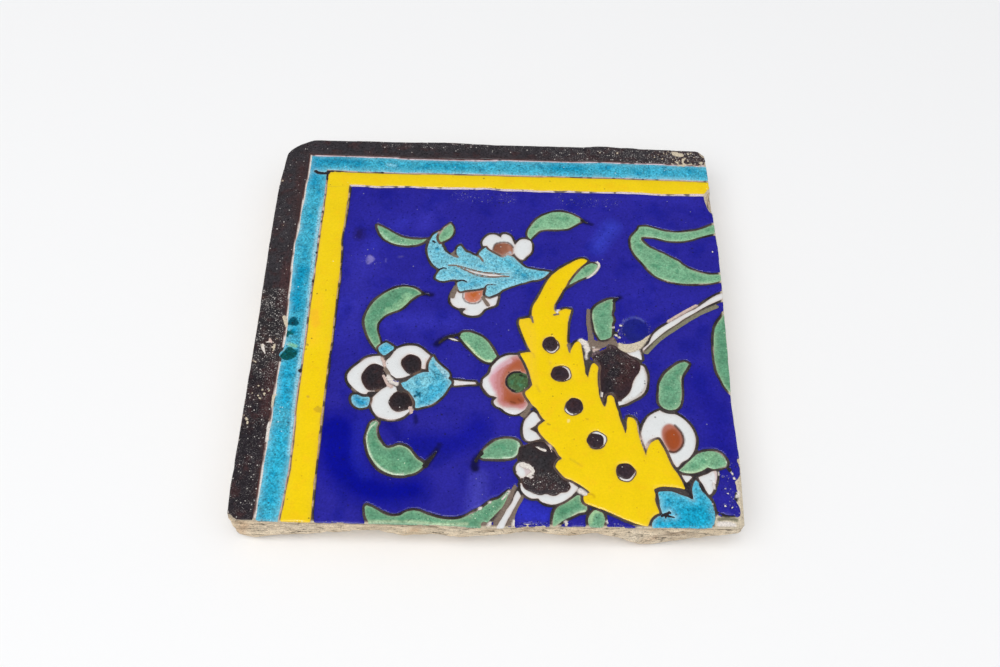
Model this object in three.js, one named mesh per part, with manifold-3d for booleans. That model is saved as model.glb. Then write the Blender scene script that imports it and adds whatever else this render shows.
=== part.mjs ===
import * as THREE from "three";
import { mergeVertices } from "three/addons/utils/BufferGeometryUtils.js";
import Module from "manifold-3d";

// A square glazed wall tile that lies on its back with the glaze up.
// Millimetres, +Z up. The origin is on the underside, below the middle of the tile.
// +Y points to the edge that the border's three bands follow, -X to the other such edge.

// Driving sizes of the body
const side = 233.4; // the square that the worn outline just touches
const thickness = 22;
const edgeLean = 0.05; // how far a sound edge leans in for each millimetre down
const breakDepth = 8; // how far the broken clay lies behind the edge at the underside
const breakRun = 6; // height over which the clay falls back below the sound part of an edge
const hiddenReach = 12; // height of the sound part on the back, left and right edges
const hiddenSwing = 5; // how much that height comes and goes along the edge
const hiddenWaves = 7; // how often it does so on one edge
const slowWaves = 3; // and how often in a slower sway
const rippleDepth = 0.7; // unevenness of the broken clay
const rippleWaves = 23; // ripples on one edge
const rippleSlant = 0.7; // how far the ripples lean with depth, in radians for each millimetre

// Driving sizes of the border: width of each band at the back edge and at the left edge
const backBands = { black: 12.5, turquoise: 11.1, yellow: 10.1 };
const leftBands = { black: 14.5, turquoise: 11.3, yellow: 12.9 };
const lineWidth = 1.3; // the unglazed line between two bands
const lineDepth = 0.4;

// Losses of the face: place as [share of the side from the left, share from the front],
// size as [along x, along y, depth] in millimetres
const losses = {
  rightEdgeChip: { at: [1, 0.835], size: [4, 8.5, 2.6] },
  backRightCorner: { at: [1, 1], size: [6, 6, 2] },
  frontLeftCorner: { at: [0, 0], size: [6, 3.4, 1.4] },
  frontRightCorner: { at: [0.98, 0], size: [15, 8, 1] },
};
const lossLift = 0.4; // how far the middle of a loss stands above the face

// How the model is divided
const stations = 264; // points round the outline
const levels = 9; // layers from the underside to the face
const lossSides = 28; // sides of a loss's round outline

// The worn outline, edge by edge and counter-clockwise seen from above. Each point is
// [share of the way along the edge, millimetres inside the square].
const wornEdges = {
  front: [
    [0.006, 1.1], [0.1, 0.6], [0.41, 0.7], [0.455, 0.1], [0.497, 0],
    [0.54, 0.3], [0.58, 1.3], [0.8, 2], [0.982, 2.9],
  ],
  right: [
    [0.018, 1.8], [0.155, 0.8], [0.3, 1.8], [0.37, 1.1], [0.52, 0.5],
    [0.6, 0], [0.7, 0], [0.76, 0.6], [0.885, 1.1], [0.975, 1.8],
  ],
  back: [
    [0.013, 2.6], [0.027, 1.5], [0.16, 1], [0.18, 0.5], [0.21, 0.7],
    [0.228, 0], [0.268, 0.1], [0.29, 1], [0.5, 1.4], [0.632, 0.6],
    [0.675, 1.2], [0.928, 1.9], [0.948, 4.1], [0.97, 7.6],
  ],
  left: [
    [0.048, 3.9], [0.07, 3], [0.155, 1.4], [0.24, 1], [0.413, 0.7], [0.52, 1.1],
    [0.627, 0.8], [0.755, 0.5], [0.884, 0.2], [0.926, 0], [0.99, 0.5],
  ],
};

// How far down the front edge is sound before the clay has broken away:
// [share of the way along the edge, millimetres below the face]
const frontReach = [
  [0, 16], [0.03, 20], [0.07, 16.5], [0.144, 15], [0.197, 10.6], [0.266, 7],
  [0.33, 12.7], [0.4, 10.6], [0.445, 13.2], [0.472, 11], [0.525, 8.2], [0.57, 6.3],
  [0.645, 10.2], [0.71, 7.4], [0.76, 12.1], [0.795, 19.5], [0.83, 19.5], [0.9, 13.5],
  [0.965, 8], [1, 6],
];

const half = side / 2;
const glazedClay = new THREE.MeshStandardMaterial({ color: 0x2f2a96, roughness: 0.2, metalness: 0 });
const wasm = await Module();
wasm.setup();

function solidOf(geometry) {
  geometry.deleteAttribute("normal");
  geometry.deleteAttribute("uv");
  const merged = mergeVertices(geometry, 1e-4);
  const mesh = new wasm.Mesh({
    numProp: 3,
    vertProperties: merged.attributes.position.array,
    triVerts: new Uint32Array(merged.index.array),
  });
  return new wasm.Manifold(mesh);
}

function geometryOf(solid) {
  const { vertProperties, triVerts } = solid.getMesh();
  const geometry = new THREE.BufferGeometry();
  geometry.setAttribute("position", new THREE.BufferAttribute(vertProperties, 3));
  geometry.setIndex(new THREE.BufferAttribute(triVerts, 1));
  geometry.computeVertexNormals();
  return geometry;
}

// The value of a list of [share, value] points at a share, along straight lines between them.
function valueAt(points, share) {
  const after = points.findIndex((point) => point[0] >= share);
  if (after < 0) return points[points.length - 1][1];
  if (after === 0) return points[0][1];
  const [fromShare, fromValue] = points[after - 1];
  const [toShare, toValue] = points[after];
  return fromValue + ((toValue - fromValue) * (share - fromShare)) / (toShare - fromShare);
}

// The face's outline: the four worn edges joined, then walked in equal steps.
function faceOutline() {
  const { front, right, back, left } = wornEdges;
  const corners = [
    ...front.map(([share, inside]) => [share * side - half, inside - half]),
    ...right.map(([share, inside]) => [half - inside, share * side - half]),
    ...back.map(([share, inside]) => [half - share * side, half - inside]),
    ...left.map(([share, inside]) => [inside - half, half - share * side]),
  ];
  const worn = new THREE.Shape(corners.map(([x, y]) => new THREE.Vector2(x, y)));
  worn.closePath();
  return new THREE.Shape(worn.getSpacedPoints(stations).slice(0, stations));
}

// How far below the face the edge at (x, y) is sound.
function soundReach(x, y) {
  if (-y >= Math.abs(x)) return valueAt(frontReach, (x + half) / side);
  const along = Math.abs(x) > Math.abs(y) ? y : x;
  const turn = (2 * Math.PI * along) / side;
  const swing = Math.sin(hiddenWaves * turn + x / half) + Math.cos(slowWaves * turn + y / half);
  return hiddenReach + (hiddenSwing * swing) / 2;
}

// How far inside the outline the edge at (x, y) stands, at a depth below the face:
// it leans a little, and below the sound part it falls back to the broken clay.
function insetAt(x, y, depth) {
  const fallen = THREE.MathUtils.smoothstep((depth - soundReach(x, y)) / breakRun, 0, 1);
  const turn = Math.atan2(y, x) * rippleWaves * 4;
  const crossed = Math.sin(turn + rippleSlant * depth) * Math.cos(turn / 3 - depth);
  const ripple = rippleDepth * crossed;
  return edgeLean * depth + fallen * (breakDepth + ripple);
}

// The clay body: the outline drawn through the thickness, each layer drawn in towards the middle.
function clayBody() {
  const body = new THREE.ExtrudeGeometry(faceOutline(), {
    depth: thickness,
    steps: levels,
    bevelEnabled: false,
  });
  const place = body.attributes.position;
  for (let i = 0; i < place.count; i += 1) {
    const [x, y, z] = [place.getX(i), place.getY(i), place.getZ(i)];
    const keep = 1 - insetAt(x, y, thickness - z) / half;
    place.setXY(i, x * keep, y * keep);
  }
  return solidOf(body);
}

// The line between two bands: an L that runs out at the front edge and at the right edge.
function bandLine(fromBack, fromLeft) {
  const [low, high] = [-lineWidth / 2, lineWidth / 2];
  const x = fromLeft - half;
  const y = half - fromBack;
  const line = new THREE.Shape();
  line.moveTo(x + low, -side);
  line.lineTo(x + high, -side);
  line.lineTo(x + high, y + low);
  line.lineTo(side, y + low);
  line.lineTo(side, y + high);
  line.lineTo(x + low, y + high);
  const cut = new THREE.ExtrudeGeometry(line, { depth: 2 * lineDepth, bevelEnabled: false });
  cut.translate(0, 0, thickness - lineDepth);
  return solidOf(cut);
}

// A place where glaze and clay have flaked off: a shallow round hollow.
function lossHollow({ at, size }) {
  const hollow = new THREE.SphereGeometry(1, lossSides, lossSides / 2);
  hollow.rotateX(Math.PI / 2);
  hollow.scale(size[0], size[1], size[2]);
  hollow.translate(at[0] * side - half, at[1] * side - half, thickness + lossLift);
  return solidOf(hollow);
}

function tileGeometry() {
  const backLines = [
    backBands.black,
    backBands.black + backBands.turquoise,
    backBands.black + backBands.turquoise + backBands.yellow,
  ];
  const leftLines = [
    leftBands.black,
    leftBands.black + leftBands.turquoise,
    leftBands.black + leftBands.turquoise + leftBands.yellow,
  ];
  let tile = clayBody();
  backLines.forEach((fromBack, i) => {
    tile = tile.subtract(bandLine(fromBack, leftLines[i]));
  });
  Object.values(losses).forEach((loss) => {
    tile = tile.subtract(lossHollow(loss));
  });
  return geometryOf(tile);
}

const ceramicTile = new THREE.Group();
const tile = new THREE.Mesh(tileGeometry(), glazedClay);
tile.name = "tile";
ceramicTile.add(tile);

export default ceramicTile;
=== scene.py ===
import bpy
import numpy as np
from mathutils import Matrix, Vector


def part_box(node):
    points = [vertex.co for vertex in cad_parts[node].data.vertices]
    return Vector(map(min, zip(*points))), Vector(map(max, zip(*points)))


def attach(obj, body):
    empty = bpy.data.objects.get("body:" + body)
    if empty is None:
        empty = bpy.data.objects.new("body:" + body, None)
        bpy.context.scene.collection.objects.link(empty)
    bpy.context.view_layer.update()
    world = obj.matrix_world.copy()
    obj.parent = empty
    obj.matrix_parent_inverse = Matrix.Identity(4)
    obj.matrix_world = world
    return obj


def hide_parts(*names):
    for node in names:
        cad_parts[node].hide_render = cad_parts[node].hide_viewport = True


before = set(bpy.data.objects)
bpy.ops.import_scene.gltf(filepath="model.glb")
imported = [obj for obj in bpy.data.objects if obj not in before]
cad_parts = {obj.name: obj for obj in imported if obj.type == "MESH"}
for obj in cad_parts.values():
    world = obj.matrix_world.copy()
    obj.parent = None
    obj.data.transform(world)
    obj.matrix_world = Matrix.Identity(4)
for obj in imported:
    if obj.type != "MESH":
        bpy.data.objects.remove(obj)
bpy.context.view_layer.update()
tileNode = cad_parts["tile"]
mm = 0.001
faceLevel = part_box("tile")[1][2] / mm  # the glazed face, in millimetres above the floor

# Everything on the face is drawn in millimetres from the middle of the picture, which lies
# this far from the middle of the tile's square.
pictureShift = np.array([-0.8, 0.3])

# The drawing: one line for each patch of glaze, the lowest first. A patch keeps clear of those
# further down the list by a drawn line. Points are "x,y"; "|" marks a corner, ";" a second loop.
lineWide = 1.3  # width of the drawn line round a patch, where the patch gives no gap of its own
greens = {
    "pale": (130, 181, 142), "leaf": (108, 160, 126), "deep": (96, 152, 119),
    "soft": (120, 173, 136), "eye": (74, 102, 64),
}
blues = {"sky": (116, 190, 208), "pond": (70, 177, 203)}
motifs = [
    dict(name="stemRight", glaze="white", line="""119,18.5 113.3,15.7 107.9,11.4 102.5,7.1
        97.1,3.8 91.8,0.1 86.4,-3.7 82.6,-6.9 79.9,-10.2 77.8,-15 75.1,-17.7 |
        75.1,-19.6 75.6,-18.8 78.9,-15 82.6,-11.2 86.4,-7.5 91.8,-3.2 97.1,1.1
        102.5,4.9 107.9,8.7 113.3,11.9 119,15 |"""),
    dict(name="stemFront", glaze="white", line="""13.6,-97.7 12.3,-100.4 11.2,-103.6
        8.5,-108.4 5.8,-113.3 4,-116.8 | 3,-119 | 8.5,-119 | 7.7,-116.8 9.1,-113.3
        11.2,-109 13.4,-104.7 15.3,-101.4 14.5,-98.8 |"""),
    dict(name="stemMiddle", glaze="white", line="""-17.7,-39.4 -12,-39.9 | -6.8,-40.2 |
        -6.4,-41.2 -12,-41.8 | -17,-42.6 |"""),
    dict(name="crescentUpperLeft", glaze="green", colour=greens["soft"], line="""-60.4,55.4
        -59.7,52.6 -58.3,49.4 -55.6,46 -51,43.4 -45.5,42.4 -40,43 -36.5,44.6 | -33.8,47.2
        -38,46.7 -43,46.9 -47.5,48 -52,50.7 -56.5,53.6 |"""),
    dict(name="leafTop", glaze="green", colour=greens["pale"], line="""19.6,48.9 18.2,51.5
        18.4,54.8 20,58 22.6,62 26.4,65.3 31,67.6 36,68.1 41,67 44.6,64.7 | 47,62.6
        43.5,59.9 39.5,57.1 34.5,56.1 28.5,56 24.5,55 21.8,52 |"""),
    dict(name="leafForked", glaze="green", colour=greens["soft"], line="""77,59.6 80.5,59.9
        83.7,59.1 87.5,57.8 91.8,56.8 97.1,56.5 102.5,57.2 107.4,58.3 111.7,60.2
        114.3,61.5 | 119,63.5 | 119,57.3 113.3,55.6 109,54 104.1,52.1 99.8,50.8 95,50.5
        90.7,50.8 87.5,51.8 84.2,52.6 81,52.9 | 77.8,52.9 77.5,51 78.6,48.9 81,46.2
        83.7,44.6 86.9,42.7 88.5,42 92.8,39.3 96.1,37.2 98.2,35 100.9,32.9 104.1,31.2
        107.9,29.9 112.2,29.2 | 119,29.5 | 119,26.2 113.3,24 107.9,23.2 102.5,22.9
        97.1,22.9 92.8,23.5 89.1,24.5 85.3,26.1 82.1,28.8 79.9,31.8 77.8,35 75.6,38.2
        73.6,41.4 72.4,44.6 72.1,47.8 72.1,51 73.2,53.7 75.1,55.9 76.2,57.5 |"""),
    dict(name="leafLeft", glaze="green", colour=greens["deep"], line="""-34.9,11.8 -38,14.4
        -42.5,15.8 -47.5,15 -52.3,12.3 -56.5,8.5 -60,3.5 -62,-2 -62.4,-6.5 -61,-12.5
        -58.4,-18.2 | -55.2,-23.2 -53.7,-20.2 -54.6,-16 -56.1,-11 -55.8,-7 -53.5,-3.3
        -50,-0.6 -45.8,1.4 -42.8,4.4 -40.6,7.6 -37.6,10.3 |"""),
    dict(name="leafMiddle", glaze="green", colour=greens["soft"], line="""-15.6,-12.7
        -13,-11.2 -9,-11.4 -4.5,-13.6 -1,-17 1.2,-21 | 3.3,-25 | 0.8,-28.5 -2,-28.3
        -6,-25.4 -10.5,-20.3 -13.8,-15.9 |"""),
    dict(name="leafEdge", glaze="green", colour=greens["deep"], line="""119,5.5 117,4.9
        115.4,2.2 113.3,-1 111.7,-4.2 110.6,-9.1 110,-14.5 109.8,-19.8 109.8,-25.2
        110.3,-30 111.7,-34.3 113.3,-38.8 116,-42.6 | 119,-44 |"""),
    dict(name="leafHook", glaze="green", colour=greens["deep"], line="""-52.9,-63.3
        -54.8,-64.3 -56.1,-68.1 -56.7,-72.4 -56.1,-76.7 -54.8,-81 -52.6,-84.8 -50,-88
        -46.7,-90.2 -43,-91.5 -38.5,-91.7 -36.6,-91.2 -33.4,-90.2 -30.7,-88 | -28.8,-85.6
        -30.2,-84.5 -32.9,-82.6 -35,-79.9 -36.6,-77.8 -39.3,-76.3 -41.7,-75.9 -44,-77
        -46.7,-77.5 -48.9,-75.9 -51,-72.9 -52.1,-69.7 -52.4,-66.5 -51.8,-64.3 |"""),
    dict(name="leafWavy", glaze="green", colour=greens["deep"], line="""-51.6,-107.9
        -49.4,-109.2 -46.7,-110.8 -44,-111.9 -41.4,-112.2 -38.5,-111.6 -36.6,-110.3
        -33.4,-109.2 -30.2,-109.5 -26.4,-111.1 -22.1,-112.5 -17.8,-113.2 -13.5,-113
        -9.7,-111.7 -6.5,-109.8 -3.3,-107.9 -0.1,-105.5 2.6,-103.3 5.3,-102.2 8,-99.8 |
        9.8,-98 9.4,-100 8.6,-102.8 7,-106.3 4.4,-109.5 2,-112.2 0.2,-114.6 -1,-116.4 |
        -4,-119 | -52.6,-119 | -52.6,-115.2 -53.7,-113.3 -54.5,-110 -54.3,-107.4 |"""),
    dict(name="leafFront", glaze="green", colour=greens["leaf"], line="""40.8,-99.3
        42.3,-99.8 43.9,-102 45,-104.7 44.5,-107.4 | 41.2,-108.4 38.3,-110 34.9,-111.7
        31.7,-114.3 29.5,-115.4 | 29.5,-112.2 30.3,-108.4 31.7,-105.7 34.9,-103.6
        38.1,-101.4 | ; 48.2,-106.8 50.4,-106.5 52.2,-108.4 53.1,-111.7 52.2,-114.9 |
        52,-119 | 46,-119 | 46.1,-115.4 45.3,-112.2 46.1,-109.5 |"""),
    dict(name="leafLower", glaze="green", colour=greens["leaf"], line="""-3.6,-81 -2.2,-77.8
        0.5,-74.6 3.7,-72.1 7.5,-70.9 11.2,-71.1 14.2,-72.7 | 15,-74.6 13.9,-78.3
        12.3,-80.5 9.1,-81.4 5.3,-81.7 1,-81.7 -2.2,-81.7 |"""),
    dict(name="leafUpright", glaze="green", colour=greens["leaf"], line="""96.9,-26.3
        95,-25.2 92.3,-26 89.6,-27.9 86.9,-30.3 84.8,-32.7 83.2,-35.4 81.8,-38.6
        81.5,-41.2 81,-45 81,-48.8 82.6,-51.4 85.3,-52.8 88.5,-52.5 90.7,-50.4 91.8,-47.1
        92.3,-43.4 92.3,-38.6 92.6,-34.9 93.9,-31.7 95.8,-28.4 |"""),
    dict(name="leafBehindTip", glaze="green", colour=greens["soft"], line="""48.8,33.2
        51,34.2 53.4,33.8 | 54.3,32.6 52.6,29.4 49.6,26.3 45.5,24 41.5,21.4 | 37.8,18.6
        39.2,21.6 42.4,26.4 45.6,30.5 |"""),
    dict(name="leafByLeaf", glaze="green", colour=greens["leaf"], line="""61.4,11.6 59.5,11.4
        56.3,9.7 53.1,7.6 50.9,4.4 50.5,0.1 50.9,-3.7 51.4,-7.5 52.5,-10.7 | 54.1,-13.6
        56.8,-13.1 59.5,-11.2 60,-8 60.2,-3.7 61.1,-1 60.3,2.2 60.8,5.4 61.1,8.7 |"""),
    dict(name="blossomTop", glaze="white", line="""-5,43.9 -5.3,46.2 -4,49 -1.6,51.2
        1.2,51.5 | 4.2,49.6 5,51.6 7,51.9 9.3,50.6 10.4,48 | 11.2,45.8 11.8,43.5
        11.6,40.5 9.8,38.2 5,36 1.5,38.8 -1.5,40.8 | ; 11,41 11.6,44 12.6,46.4 14.6,48.6
        17,49 19.6,47.6 20.5,44.5 20,40.5 17.8,37.9 15.6,35.4 13.2,36.8 11.5,39.2"""),
    dict(name="blossomUnderLeaf", glaze="white", line="""-20.5,9.7 -20.2,7.1 -18.9,4.9
        -16.2,3.3 | -13.2,2.5 -14,0.9 -11.9,-0.5 -9.2,-1 -6.5,-0.5 -4.9,1.1 -3.3,3.3
        -0.6,4.6 2.1,6 2.9,8.7 3.2,11.9 | 2.1,14.5 -8,18 -16,17 | -18.4,16 -19.6,13 |"""),
    dict(name="petalLeft", glaze="white", line="""-51.8,-26.4 -56.4,-26.8 -60.2,-28.4
        -64.2,-32 -67.4,-36 -68.3,-38.6 -67.4,-42 -64.5,-45.6 -61.2,-48.1 | -58.2,-48.9
        -57.4,-47.2 | -52,-46.8 -49,-44 -48.5,-36 -50.5,-31 -51.8,-28 |"""),
    dict(name="petalTop", glaze="white", line="""-28.6,-26.1 -30,-29.6 | -30.8,-33.6
        -33.4,-33.6 | -38,-37 -41.5,-38.7 | -44.8,-39.2 -48,-36.6 -50,-32.5 -50.2,-29.4
        -48,-26.4 -46,-22.8 -42.5,-20.6 -38,-20 -34.5,-21 -31.2,-23.6 |"""),
    dict(name="petalLow", glaze="white", line="""-54.8,-49.6 -56,-52 -55.2,-56.5 -52.8,-60
        -49,-62 -44.5,-62.1 -40.2,-60.4 -37.3,-57 -36.8,-54 | -44,-46 -44.8,-44
        -47.4,-43.6 -50.6,-45.1 -53,-47.6 |"""),
    dict(name="rosette", glaze="white", line="""11.8,-23.9 8.5,-24.1 5.3,-25.7 3.2,-27.9
        1,-31.1 -0.1,-34.9 -3,-38.1 -3.4,-40 -3.3,-42.3 -2.2,-44.5 -0.1,-47.1 2.1,-47.9 |
        3.7,-48.5 2.1,-50.9 3.2,-53.1 5.8,-54.4 8,-56.3 10.7,-57.5 13.4,-57.4 16.1,-55.7
        18.2,-53.1 18.8,-50.4 | 24,-45 24,-30 18,-24 |"""),
    dict(name="petalByLeaf", glaze="white", line="""20.6,-56 19.3,-57.4 17.1,-60.6
        16.1,-63.8 16.1,-68.1 17.1,-70.8 19.3,-71.9 22.5,-71.1 | 25.7,-70.5 24.1,-68.6
        22,-67 | 19.2,-65.2 20.9,-64.3 23.1,-62.2 25.2,-60.8 | 25.5,-59.8 23.6,-57.9
        21.4,-56 |"""),
    dict(name="blossomRight", glaze="white", line="""81,-53.3 83.7,-54.7 86.4,-55.2
        88.5,-55.2 91.8,-57.4 94.5,-60.6 96.1,-63.8 97.1,-68.1 96.6,-72.4 95,-76.2
        92.3,-79.4 89.6,-81 88,-83.2 86.7,-83.4 | 80,-80 76,-80 | 73.5,-74.6 72.4,-71.3
        71.3,-68.1 71.9,-64.3 73.5,-60 75.6,-56.8 78.3,-54.7 |"""),
    dict(name="petalLowRight", glaze="white", line="""104.9,-84.2 102.5,-85.8 99.8,-87.2 |
        96.6,-88.5 97.7,-91.8 99.3,-95 | 100.9,-97.7 102.5,-96.1 104.1,-92.3 105.2,-89.1
        105.5,-85.8 | ; 88.3,-86.7 | 94.2,-88.3 | 91,-92 |"""),
    dict(name="leafLowRight", glaze="green", colour=greens["soft"], line="""88,-85.3
        90.2,-83.2 92.3,-81 95,-78.3 97.1,-76.4 100.4,-75.1 104.1,-74.6 107.4,-75.6
        109.5,-77.8 110.6,-80.5 | 110,-82.4 107.4,-83.4 104.1,-84 101.4,-83.4 |
        99.8,-84.5 97.1,-85.8 93.9,-86.7 90.2,-86.4 |"""),
    dict(name="scallops", glaze="white", line="""13.9,-84 12.8,-86.4 13.1,-89.1 15,-91.8 |
        15,-94.5 15.5,-97.7 17.7,-100.4 20.4,-101.7 | 23.1,-101.4 24.1,-102.8 26.3,-103.9
        30,-104.4 33.8,-103.1 37,-100.9 39.7,-98.2 41.3,-95.5 40.3,-93.9 38.1,-92.3 |
        30,-88 20,-84 |"""),
    dict(name="paleRim", glaze="white", line="""72.4,-27.4 74.6,-28.4 75.6,-31.1 76.2,-34.3
        75.9,-37.6 75.2,-40.8 74,-43.4 71.3,-46.1 68.1,-48.2 64.9,-50.1 | 61.7,-51.2
        61.4,-49 63.3,-48.2 64,-42 68,-36 70,-30 | ; 66,-19.8 70.3,-19.6 72.9,-19 |
        74,-22.5 73.8,-24.7 | 71.3,-23.3 68.1,-22 |"""),
    dict(name="darkBlossom", glaze="black", gap=0.25, colour=(52, 38, 46), line="""49.3,-22.5
        50.4,-21.2 55.7,-19.6 58.4,-16.6 60.6,-16.1 63.3,-18.8 66.5,-20.9 69.7,-23.6
        72.4,-25.7 72.9,-29 71.9,-32.2 70.3,-34.9 68.6,-38.6 68.1,-40.7 67,-43.4
        64.9,-46.1 62.2,-48.2 60.6,-47.7 58.4,-45 56.5,-44.5 55.2,-46.6 | 54.1,-49.8
        53.3,-43.4 52.5,-38.6 53.1,-33.3 52.5,-28.4 50.9,-26.8 |"""),
    dict(name="blackBlossom", glaze="black", gap=0.25, colour=(48, 42, 48), line="""14.5,-75.6
        16.6,-74.6 19.8,-72.9 23.6,-71.9 26.8,-72.4 29.5,-74.6 32.2,-77.8 32.7,-80.5
        30.6,-83.7 31.7,-86.9 34.9,-90.2 37,-93.4 37.6,-95.5 36,-97.7 33.3,-98.2
        31.4,-99.6 29.5,-99.8 26.8,-99 23.6,-99.6 19.8,-98.2 17.1,-96.6 15.8,-93.9
        15.3,-91.2 14.2,-83.7 13.9,-79.9"""),
    dict(name="greenEye", glaze="green", gap=0.3, colour=greens["eye"],
         disc=(13.8, -39.3, 5.8, 5.8, 0)),
    dict(name="petalEyes", glaze="black", gap=0.25, colour=(50, 42, 46), disc=[
        (-54.6, -39, 6.8, 7.3, 0), (-37.8, -31, 4.6, 5.8, 20), (-41.8, -52.2, 5.6, 5.4, 0)]),
    dict(name="serratedLeaf", glaze="turquoise", colour=blues["sky"], line="""-26.4,52.9
        -29.4,51.3 -31,49.7 -32.3,46.7 -33.1,43.5 -33.5,40 -32.8,36.1 -31.5,32.9
        -29.9,30.4 -27.8,28.3 | -26.4,27 -27.2,25.9 -28.3,23.7 | -28.6,21.8 -26.7,20.5
        -24.3,20.2 -21,21 -18.3,21.3 | -17,20.5 -17.5,18.3 -17,15.7 -15.7,14 -13.5,14.6
        -10.8,15.1 -7.6,15.7 -4.4,16.5 | -3,17.3 -2.5,16.2 -3,14 -2.8,11.9 | -1.1,11.1
        1,12.2 3.7,13.8 5.3,15.4 8,17 10.7,18.3 13.9,19.7 17.1,20.8 20.4,22.1 23.3,22.6
        26,24 27.9,25.9 | 29.5,27.8 24.1,28.6 19.8,29.4 17.1,30.4 15.5,31.8 13.9,33.4
        12.3,35 11,36.6 9.6,37.4 | 8,38.2 5.3,36.4 2.6,37.7 0.5,39 -2.2,40.9 | -3.6,42.6
        -5.4,40.8 -6.5,39.2 -7,38.2 -6.5,36.9 | -5.4,34.5 -7.6,36.6 -9.7,37.4 -11.9,38.8
        -13.5,39.2 -15.1,41.4 | -16.5,43.5 -17.8,42.4 -18.6,39.7 | -17.8,36.1 -20.5,36.6
        -22.6,37.7 -24.8,39.8 -25.3,41.4 -26.4,44 |"""),
    dict(name="calyxLeft", glaze="turquoise", colour=(98, 184, 207), line="""-27.8,-25.8
        -25.9,-29 -23.2,-31.7 -20,-34.9 -19.2,-37 | -20,-38.1 -18.3,-40.3 -18.3,-41.2 |
        -19.4,-43.4 -20.5,-45.5 -22.1,-48.2 -24.8,-51.4 -28,-53.6 -31.2,-54.7 |
        -33.9,-55.7 -35,-55.2 -35,-52.5 -36.1,-49.8 -38.2,-46.6 -40.9,-44.5 | -42.4,-41.8
        -39.7,-40.7 -38.8,-39.7 -35.5,-37 -32.3,-35.4 | -29.2,-35 -29.6,-33.3 -29.4,-30 |
        ; -65,-49.6 -65.3,-52 -63.9,-54.7 -61.2,-56.3 -58.6,-56 -56.9,-54.7 -56.7,-50.4
        -60.2,-50.1 -62.9,-49 ; -51,-18.6 -48.7,-20 -46.9,-21.8 | -49,-24.2 -51.4,-26.1 |
        -53.8,-24.5 -54.6,-22 -53,-19.8"""),
    dict(name="calyxRight", glaze="turquoise", colour=(66, 176, 205), line="""95.5,-89.9
        97.1,-92.3 98.2,-95.5 99.8,-98.2 101.7,-100.9 102.5,-105.2 102.8,-107.9
        102.2,-111.7 100.9,-113.8 | 101,-119 | 74,-119 | 74,-112.7 75.1,-110.6 77.8,-108.4
        | 78.9,-107.4 78.1,-104.1 78.1,-100.4 77.5,-97.1 | 79.4,-96.3 83.7,-96.3
        87.5,-97.7 90.7,-98.8 | 93.6,-100.5 93.6,-98.2 93.4,-95 94.2,-91.8 |"""),
    dict(name="leafTip", glaze="green", colour=greens["soft"], line="""-22.4,58 -20.9,56
        -20.5,53.2 -21.1,50.3 -23,47.7 | -26.9,45.3 -28,48.2 -27.2,51.2 -25.6,54.4 |"""),
    dict(name="yellowLeaf", glaze="yellow", colour=(242, 206, 8), line="""38.5,32.9 43.4,36.1
        46.6,37.1 | 49,36 48.2,34.5 45.5,31.8 42.8,28.6 40.7,25.3 38.8,22.1 37.6,18.9
        36,16.2 34.3,12.4 32.7,9.2 31.7,7.1 31.4,4.4 | 32.2,2.2 34.3,3.6 37,4.9 |
        40.2,4.4 39.5,1.7 38.6,-2.1 38.1,-6.4 37.8,-11.8 37.8,-16.1 | 39,-21.4 40.2,-18.2
        41.8,-15.5 | 44.4,-14.2 45,-19.8 45.5,-25.2 46.1,-29.5 46.3,-33.3 | 47.4,-35.4
        48.2,-31.7 49.3,-28.4 50.6,-27.4 52.5,-29.5 52.2,-33.3 52.1,-38.6 52.2,-40.7
        52.5,-45 53.3,-48.8 | 54.9,-52.4 56,-48.8 56.5,-46.1 58.2,-45.5 59.5,-47.1
        60,-49.8 61.1,-54.1 61.9,-58.4 63,-62.2 | 64.3,-66.5 64.9,-63.3 65.2,-59.5
        66,-57.4 68.6,-58.4 69.7,-61.1 70.3,-66 71.3,-71.3 | 73.2,-78 74,-74.6 75.6,-71.3
        77.8,-69.7 | 79.4,-69.2 81,-72.4 82.6,-76.2 83.7,-79.9 85.3,-83.7 87.5,-87.5
        89.1,-91.2 | 90.2,-95 86.4,-94.2 82.1,-93.9 78.3,-94.2 | 75.9,-95.5 76.4,-97.7
        76.2,-101.4 77.2,-105.2 | 77.8,-107.4 75.6,-108.4 73.5,-110.6 72.4,-113.3 |
        71.9,-114.1 68.1,-113.3 63.8,-111.7 59.5,-109.8 55.7,-107.9 52.5,-106.5
        48.8,-105.2 44.5,-103.3 43.6,-100.9 44.2,-99.3 | 46.6,-97.7 43.4,-95 40.2,-92.8
        38.3,-91.8 35.4,-90.7 32.2,-86.9 31.1,-84.8 32.2,-82.1 | 34.3,-80.7 32.7,-78.9
        31.1,-75.6 27.9,-72.4 25.2,-69.2 23.3,-66 23.3,-63.8 24.7,-62.2 | 26.5,-60.6
        24.7,-58.4 22.5,-54.1 20.4,-52 18.8,-49.3 17.4,-47.1 17.1,-45 19.3,-42.8 |
        20.4,-40.9 19.8,-37.6 18.8,-33.3 17.1,-28.4 15,-24.1 | 14.7,-22.8 17.7,-22 |
        19.8,-21.7 18.2,-18.2 16.6,-13.9 15,-9.1 13.9,-4.8 | 14.2,-2.4 17.1,-1.8
        19.3,-1.5 | 20.6,-3.7 20.4,-0.5 20.4,3.3 21.4,7.1 23.1,10.3 24.7,14 26.3,17.8
        28.4,22.1 31.1,26.4 34.3,29.6 |"""),
    dict(name="eyeRims", glaze="white", gap=0.45, disc=[
        (30, -17.9, 3.6, 3.9, -20), (34.9, -34, 4.2, 4.2, 0), (39.9, -53.1, 3.9, 3.9, 0),
        (50.7, -70.4, 4.1, 4.6, -15), (63.4, -87.3, 4.2, 4.1, 0)]),
    dict(name="leafEyes", glaze="black", gap=0.15, colour=(52, 42, 50), disc=[
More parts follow.
